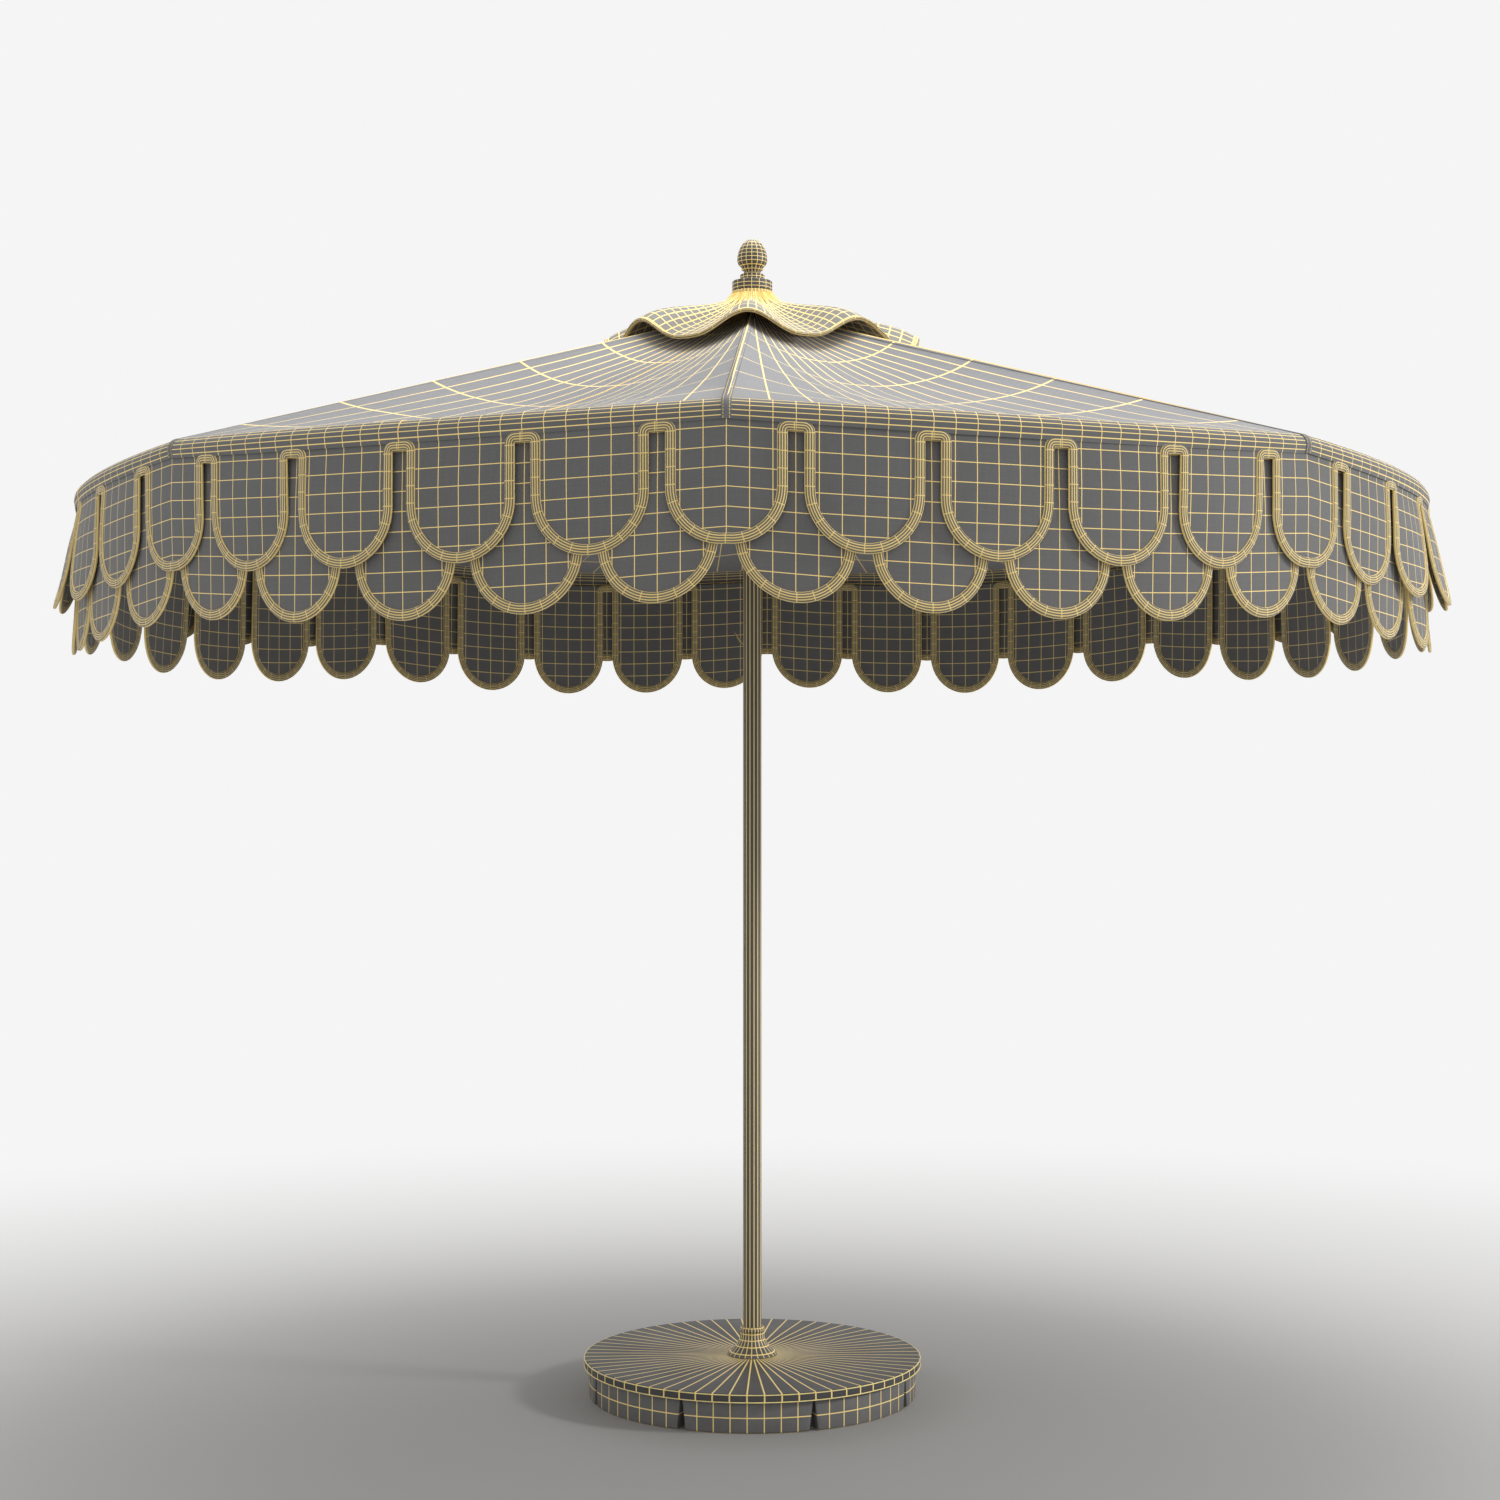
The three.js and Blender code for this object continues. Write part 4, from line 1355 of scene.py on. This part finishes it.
# %% [markdown]
# ### Mast
# A drawn steel tube, 42 mm across with a 2 mm wall. It is spun with its wall, so it is hollow at its
# ends as the real one is.

# %% Mast tube
MAST_LOW, MAST_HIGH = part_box("mast")
mast_outline = [
    (0.019, MAST_LOW.z),
    (0.021, MAST_LOW.z),
    (0.021, MAST_HIGH.z),
    (0.019, MAST_HIGH.z),
]
mast_maker = spun(mast_outline, 64, closed=True)
mast_piece = make_piece("mast_tube", mast_maker, "mast", mast_paint)
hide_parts("mast")
print("mast is", round(MAST_HIGH.z - MAST_LOW.z, 3), "m long")

# %% [markdown]
# ## Base
# The heavy foot is a filled drum under a flat steel plate with a turned-down lip. Eight tapered
# notches in the drum are hand holds. The drum is spun, the notches are cut out with wedges, and a
# small bevel catches the light on each edge. A bell-shaped collar hides the socket.

# %% Base drum with hand notches
DRUM_LOW, DRUM_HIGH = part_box("base_weight")
DRUM_RADIUS = 0.372
SOCKET_ROOM = 0.061  # the socket's flange sits in a recess of this radius
FLANGE_TOP = 0.0073
NOTCH_HALF_LOW = 0.012
NOTCH_HALF_HIGH = 0.002
NOTCH_HEIGHT = 0.065
NOTCH_DEPTH = 0.032

drum = spun(
    [
        (SOCKET_ROOM, DRUM_LOW.z),
        (DRUM_RADIUS - 0.003, DRUM_LOW.z),
        (DRUM_RADIUS, DRUM_LOW.z + 0.003),
        (DRUM_RADIUS, DRUM_HIGH.z),
        (0.0253, DRUM_HIGH.z),
        (0.0253, FLANGE_TOP),
        (SOCKET_ROOM, FLANGE_TOP),
    ],
    168,
    closed=True,
)
wedges = bmesh.new()
for i in range(RIBS):
    for vert in block(
        wedges, (NOTCH_DEPTH * 2, 1.0, NOTCH_HEIGHT + 0.01), (DRUM_RADIUS, 0, NOTCH_HEIGHT / 2 - 0.005)
    ):
        half = NOTCH_HALF_LOW if vert.co.z < NOTCH_HEIGHT / 2 else NOTCH_HALF_HIGH
        vert.co.y = math.copysign(half, vert.co.y)
        vert.co = Matrix.Rotation(rib_azimuth(1) + (i + 0.5) * GORE, 3, "Z") @ vert.co
drum_maker = round_corners(carved(drum, wedges), 0.0012, over_degrees=40)
drum_piece = make_piece("base_drum", drum_maker, "base", body_paint, 30)
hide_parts("base_weight")
print("drum has", len(drum_piece.data.polygons), "faces")

# %% [markdown]
# ### Base plate
# A pressed steel disc whose edge turns down over the drum. Two fine beads run round the lip. They are
# thin rings of their own, because a painted line would not stand proud and catch the light.

# %% Base plate
PLATE_LOW, PLATE_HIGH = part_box("base_cover")
PLATE_RADIUS = 0.382
plate_outline = [
    (0.0256, PLATE_HIGH.z - 0.0045),
    (0.3725, PLATE_HIGH.z - 0.0045),
    (0.3725, PLATE_LOW.z),
    *arc(PLATE_RADIUS - 0.0025, PLATE_LOW.z + 0.0025, 0.0025, 0.0025, -90, 0, 4),
    *arc(PLATE_RADIUS - 0.004, PLATE_HIGH.z - 0.004, 0.004, 0.004, 0, 90, 6),
    (0.22, PLATE_HIGH.z),
    (0.12, PLATE_HIGH.z),
    (0.0256, PLATE_HIGH.z),
]
plate_maker = spun(plate_outline, 160, closed=True)
plate_piece = make_piece("base_plate", plate_maker, "base", plate_paint, 30)
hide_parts("base_cover")
beads = bmesh.new()
for height in (PLATE_LOW.z + 0.0012, PLATE_HIGH.z - 0.0022):
    ring = bmesh.ops.create_circle(
        beads,
        segments=8,
        radius=0.0012,
        matrix=Matrix.Translation((PLATE_RADIUS, 0, height)) @ Matrix.Rotation(math.pi / 2, 4, "X"),
    )["verts"]
    edges = [e for e in beads.edges if e.verts[0] in ring]
    spin_round(beads, ring + edges, 160)
bmesh.ops.remove_doubles(beads, verts=beads.verts[:], dist=1e-6)
bmesh.ops.recalc_face_normals(beads, faces=beads.faces[:])
turn_outward(beads)
make_piece("plate_beads", beads, "base", gilding, 60)
print("plate is", round(2 * PLATE_RADIUS, 3), "m across")

# %% [markdown]
# ### Bell collar
# The collar slides down the mast and hides the socket. Its flare follows a power curve, which starts
# wide at the plate and runs almost straight up the mast, and a small rolled ring ends it.

# %% Bell collar
COLLAR_LOW, COLLAR_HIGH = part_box("mast_collar")
BELL_NECK, BELL_FLARE = 0.027, 0.0565
bell = []
for i in range(21):
    t = i / 20
    radius = BELL_NECK + (BELL_FLARE - BELL_NECK) * (1 - t) ** 2.2
    bell.append((radius, lerp(COLLAR_LOW.z + 0.003, COLLAR_HIGH.z - 0.012, t)))
collar_outline = [
    (0.0254, COLLAR_LOW.z),
    (BELL_FLARE - 0.001, COLLAR_LOW.z),
    (BELL_FLARE, COLLAR_LOW.z + 0.001),
    *bell,
    *arc(BELL_NECK, COLLAR_HIGH.z - 0.0075, 0.0022, 0.0035, -80, 80, 6),
    *arc(BELL_NECK - 0.001, COLLAR_HIGH.z - 0.0015, 0.0015, 0.0015, 0, 90, 3),
    (0.0215, COLLAR_HIGH.z),
    (0.0215, 0.1385),
    (0.0254, 0.1385),
]
collar_maker = spun(collar_outline, 72, closed=True)
collar_piece = make_piece("bell_collar", collar_maker, "base", collar_paint, 30)
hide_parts("mast_collar")
print("collar rises", round(COLLAR_HIGH.z - COLLAR_LOW.z, 3), "m")

# %% [markdown]
# ## Hub, runner and knobs
# The hub at the mast's top and the runner below it are cast discs with eight slots, one for each rib
# or stretcher. They are spun round and slotted with blocks. The cloth hides them, so their shapes
# follow what such parasols usually have.

# %% Slotted castings
RUNNER_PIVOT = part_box("runner")[1].z - 0.020
CAST_CORNER = 0.0008


def slot_cutters(width, inner, low, high):
    cutters = bmesh.new()
    for i in range(RIBS):
        block(cutters, (0.06, width, high - low), (inner + 0.03, 0, (low + high) / 2), i * GORE)
    return cutters


hub_bottom = hub_pivot.z - 0.032
hub_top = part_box("hub")[1].z
hub_maker = spun(
    [
        (0.0213, hub_bottom),
        (0.029, hub_bottom),
        (0.030, hub_pivot.z - 0.014),
        (0.054, hub_pivot.z - 0.011),
        (0.058, hub_pivot.z - 0.007),
        (0.058, APEX_HEIGHT - SLOPE * 0.058 - 0.0037),
        (0.0245, APEX_HEIGHT - SLOPE * 0.0245 - 0.0037),
        (0.0245, hub_top),
        (0.0213, hub_top),
    ],
    96,
    closed=True,
)
hub_slots = slot_cutters(0.0136, 0.035, hub_pivot.z - 0.04, hub_pivot.z + 0.03)
hub_maker = round_corners(carved(hub_maker, hub_slots), CAST_CORNER, 40)
hub_piece = make_piece("cast_hub", hub_maker, "mast", cast_alloy, 30)
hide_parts("hub")

runner_maker = spun(
    [
        (0.0215, RUNNER_PIVOT - 0.056),
        (0.028, RUNNER_PIVOT - 0.056),
        (0.030, RUNNER_PIVOT - 0.054),
        (0.030, RUNNER_PIVOT - 0.014),
        (0.032, RUNNER_PIVOT - 0.012),
        (0.053, RUNNER_PIVOT - 0.012),
        (0.056, RUNNER_PIVOT - 0.009),
        (0.056, RUNNER_PIVOT + 0.009),
        (0.053, RUNNER_PIVOT + 0.012),
        (0.030, RUNNER_PIVOT + 0.012),
        (0.030, RUNNER_PIVOT + 0.020),
        (0.0215, RUNNER_PIVOT + 0.020),
    ],
    96,
    closed=True,
)
runner_slots = slot_cutters(0.0146, 0.034, RUNNER_PIVOT - 0.02, RUNNER_PIVOT + 0.03)
runner_maker = round_corners(carved(runner_maker, runner_slots), CAST_CORNER, 40)
runner_piece = make_piece("cast_runner", runner_maker, "runner", cast_alloy, 30)
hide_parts("runner")
print("hub at", round(hub_pivot.z, 3), "and runner at", round(RUNNER_PIVOT, 3))

# %% [markdown]
# ### Pins and clamping screws
# Each stretcher turns on a pin whose ends show beside its slot. The two screws that clamp the mast and
# the runner have lobed knobs for wet hands: a cylinder whose radius is waved six times and whose
# corners are then bevelled.

# %% Runner's pivot pins
pins = bmesh.new()
for number in range(1, RIBS + 1):
    for side in (-1, 1):
        place = (
            Matrix.Rotation(rib_azimuth(number), 4, "Z")
            @ Matrix.Translation((0.0465, side * 0.0100, RUNNER_PIVOT))
            @ Matrix.Rotation(math.pi / 2, 4, "X")
        )
        bmesh.ops.create_cone(
            pins, cap_ends=True, segments=20, radius1=0.0026, radius2=0.0026, depth=0.0050, matrix=place
        )
round_corners(pins, 0.0005, 50)
make_piece("runner_pins", pins, "runner", plating, 40)
print(2 * RIBS, "pin ends in the runner")


# %% Lobed clamping screws
def clamping_screw(inner, outer, head_radius, lobes):
    """A screw along +X with a lobed head, its shank from inner to the head that ends at outer."""
    bm = bmesh.new()
    head = 0.020 if head_radius > 0.013 else 0.012
    along_x = Matrix.Rotation(math.pi / 2, 4, "Y")
    shank_place = Matrix.Translation(((inner + outer - head) / 2, 0, 0)) @ along_x
    bmesh.ops.create_cone(
        bm,
        cap_ends=True,
        segments=24,
        radius1=0.004,
        radius2=0.004,
        depth=outer - head - inner,
        matrix=shank_place,
    )
    made = bmesh.ops.create_cone(
        bm,
        cap_ends=True,
        segments=72,
        radius1=head_radius,
        radius2=head_radius,
        depth=head,
        matrix=Matrix.Translation((outer - head / 2, 0, 0)) @ along_x,
    )
    for vert in made["verts"]:
        swell = 1 - 0.10 * (0.5 - 0.5 * math.cos(lobes * math.atan2(vert.co.z, vert.co.y)))
        vert.co.y *= swell
        vert.co.z *= swell
    return round_corners(bm, 0.0012, 50, segments=3)


def place_screw(bm, azimuth, height):
    place = Matrix.Translation((0, 0, height)) @ Matrix.Rotation(azimuth, 4, "Z")
    bmesh.ops.transform(bm, matrix=place, verts=bm.verts)
    return bm


collar_screw = place_screw(clamping_screw(0.0215, 0.053, 0.012, 6), math.pi / 2, 0.120)
collar_screw_piece = make_piece("collar_clamp", collar_screw, "collar_screw", moulded_knob, 30)
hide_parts("collar_screw")
knob_azimuth = rib_azimuth(5.5)
runner_knob = place_screw(clamping_screw(0.0215, 0.078, 0.014, 6), knob_azimuth, RUNNER_PIVOT - 0.036)
boss_place = (
    Matrix.Rotation(knob_azimuth, 4, "Z")
    @ Matrix.Translation((0.041, 0, RUNNER_PIVOT - 0.036))
    @ Matrix.Rotation(math.pi / 2, 4, "Y")
)
boss = bmesh.new()
bmesh.ops.create_cone(
    boss, cap_ends=True, segments=40, radius1=0.0092, radius2=0.008, depth=0.030, matrix=boss_place
)
boss = round_corners(boss, 0.001, 50)
make_piece("runner_boss", boss, "runner", cast_alloy, 30)
knob_piece = make_piece("runner_clamp", runner_knob, "runner_knob", moulded_knob, 30)
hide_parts("runner_knob")
print("two clamping screws made")

# %% [markdown]
# ## Ribs, stretchers and rivets
# These already have the right shape in the frame, as plain bars with drilled eyes. A merged copy with
# a fine bevel on every corner gives them the soft highlights of drawn and painted metal.

# %% Ribs, stretchers and rivets
for number in range(1, RIBS + 1):
    for bar in ("rib", "stretcher"):
        node = f"{bar}_{number}"
        piece = make_piece(
            f"{bar}_bar_{number}", softened(node, 0.0010), node, rib_paint, 30
        )
        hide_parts(node)
    rivet_maker = softened(f"rivet_{number}", 0.0007)
    rivet = make_piece(
        f"rivet_head_{number}", rivet_maker, f"rib_{number}", plating, 30
    )
    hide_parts(f"rivet_{number}")
print(RIBS, "ribs with stretchers and rivets")

# %% [markdown]
# ### Rib pockets
# A rib's tip isn't glued to the cloth: it slips into a sewn pocket under the rim. Each pocket is a
# swept tube that narrows towards the rim.

# %% Rib pockets
POCKET_HALF = 0.0125
POCKET_LENGTH = 0.09


def round_profile(half, sides=12):
    angles = [a * math.tau / sides for a in range(sides)]
    return [(half * math.cos(angle), half * math.sin(angle)) for angle in angles]


POCKET_PROFILE = round_profile(POCKET_HALF)


def make_rib_pocket(number):
    azimuth = rib_azimuth(number)
    start = RIM_RADIUS - 0.105
    path = [(start + POCKET_LENGTH * i / 14, 0.0) for i in range(15)]

    def place(step, a, b):
        radius = step[0]
        share = (radius - start) / POCKET_LENGTH
        narrow = math.sqrt(max(0.0, 1 - smooth_step(0.80, 1.02, share)))
        under = APEX_HEIGHT - SLOPE * radius - 0.0145
        aside = polar(a * narrow, azimuth + math.pi / 2, 0.0)
        return polar(radius, azimuth, under + b * 0.95 * narrow) + aside

    bm = bmesh.new()
    swept_tape(bm, path, POCKET_PROFILE, place)
    turn_outward(bm)
    return make_piece(f"rib_pocket_{number}", bm, f"rib_{number}", stitched_seam, 60)


rib_pockets = [make_rib_pocket(number) for number in range(1, RIBS + 1)]
print(len(rib_pockets), "pockets hold the ribs' tips")

# %% [markdown]
# ## What stays from the frame
# The socket tube inside the collar and the pivot wire in the hub keep the frame's own mesh and only
# get their finish.

# %% Finishes on frame nodes
for node, material in (("socket_tube", rib_paint), ("hub_pivot_ring", plating)):
    kept = frame["nodes"][node]
    kept.data.materials.clear()
    kept.data.materials.append(material)
print("finished the socket tube and the pivot wire")

# %% [markdown]
# ## Floor and light
# A pale studio floor brightens into the backdrop. It isn't part of the parasol. A wide light above
# is for the canopy's top, and a smaller one from the right lays a faint shadow to the left of the
# base.

# %% Floor
BACKDROP = (0.913, 0.913, 0.913, 1.0)
FLOOR_GREY = (0.315, 0.310, 0.300, 1.0)
FADE_STARTS = 0.7  # metres from the base where the floor begins to turn into the backdrop
FADE_ENDS = 5.1
floor_maker = bmesh.new()
bmesh.ops.create_circle(floor_maker, cap_ends=True, segments=96, radius=60.0)
floor_mesh = bpy.data.meshes.new("studio_floor")
floor_maker.to_mesh(floor_mesh)
floor_maker.free()
floor = bpy.data.objects.new("studio_floor", floor_mesh)
scene.collection.objects.link(floor)
floor_material, floor_tree, floor_shader = start_material("studio floor", roughness=0.85)
floor_shader.inputs["Base Color"].default_value = FLOOR_GREY
# Painted shade and glow: the floor turns into glowing backdrop away from a point in front of the base,
# so round the parasol it stays a darker grey.
floor_place = add_node(floor_tree, "TexCoord").outputs["Object"]
shifted = add_node(floor_tree, "VectorMath", {0: floor_place, 1: (-0.1, 0.7, 0.0)}, operation="ADD")
distance = add_node(floor_tree, "VectorMath", {0: shifted.outputs[0]}, operation="LENGTH")
floor_glow_fade = add_node(
    floor_tree,
    "MapRange",
    {"Value": distance.outputs["Value"], "From Min": FADE_STARTS, "From Max": FADE_ENDS},
    interpolation_type="SMOOTHSTEP",
)
backdrop = add_node(floor_tree, "Emission", {"Color": BACKDROP, "Strength": 1.0})
grounds = {0: floor_glow_fade.outputs[0], 1: floor_shader.outputs[0], 2: backdrop.outputs[0]}
blend = add_node(floor_tree, "MixShader", grounds)
floor_tree.links.new(blend.outputs[0], floor_tree.nodes["Material Output"].inputs["Surface"])
floor_mesh.materials.append(floor_material)
print("floor laid")

# %% Studio light
world = bpy.data.worlds.new("studio")
world.use_nodes = True
world.node_tree.nodes["Background"].inputs["Color"].default_value = BACKDROP
scene.world = world
scene.view_settings.view_transform = "Standard"


def add_area_light(name, place, aim, size, power):
    light = bpy.data.lights.new(name, "AREA")
    light.shape = "DISK"
    light.size = size
    light.energy = power
    lamp = bpy.data.objects.new(name, light)
    lamp.location = place
    lamp.rotation_euler = (Vector(aim) - Vector(place)).to_track_quat("-Z", "Y").to_euler()
    scene.collection.objects.link(lamp)


add_area_light("top light", (0.4, 0.6, 6.5), (0, 0, 2.0), 4.0, 260)
add_area_light("side light", (7.0, -1.5, 4.0), (0, 0, 0.9), 1.2, 300)
print("two lights and a white backdrop")
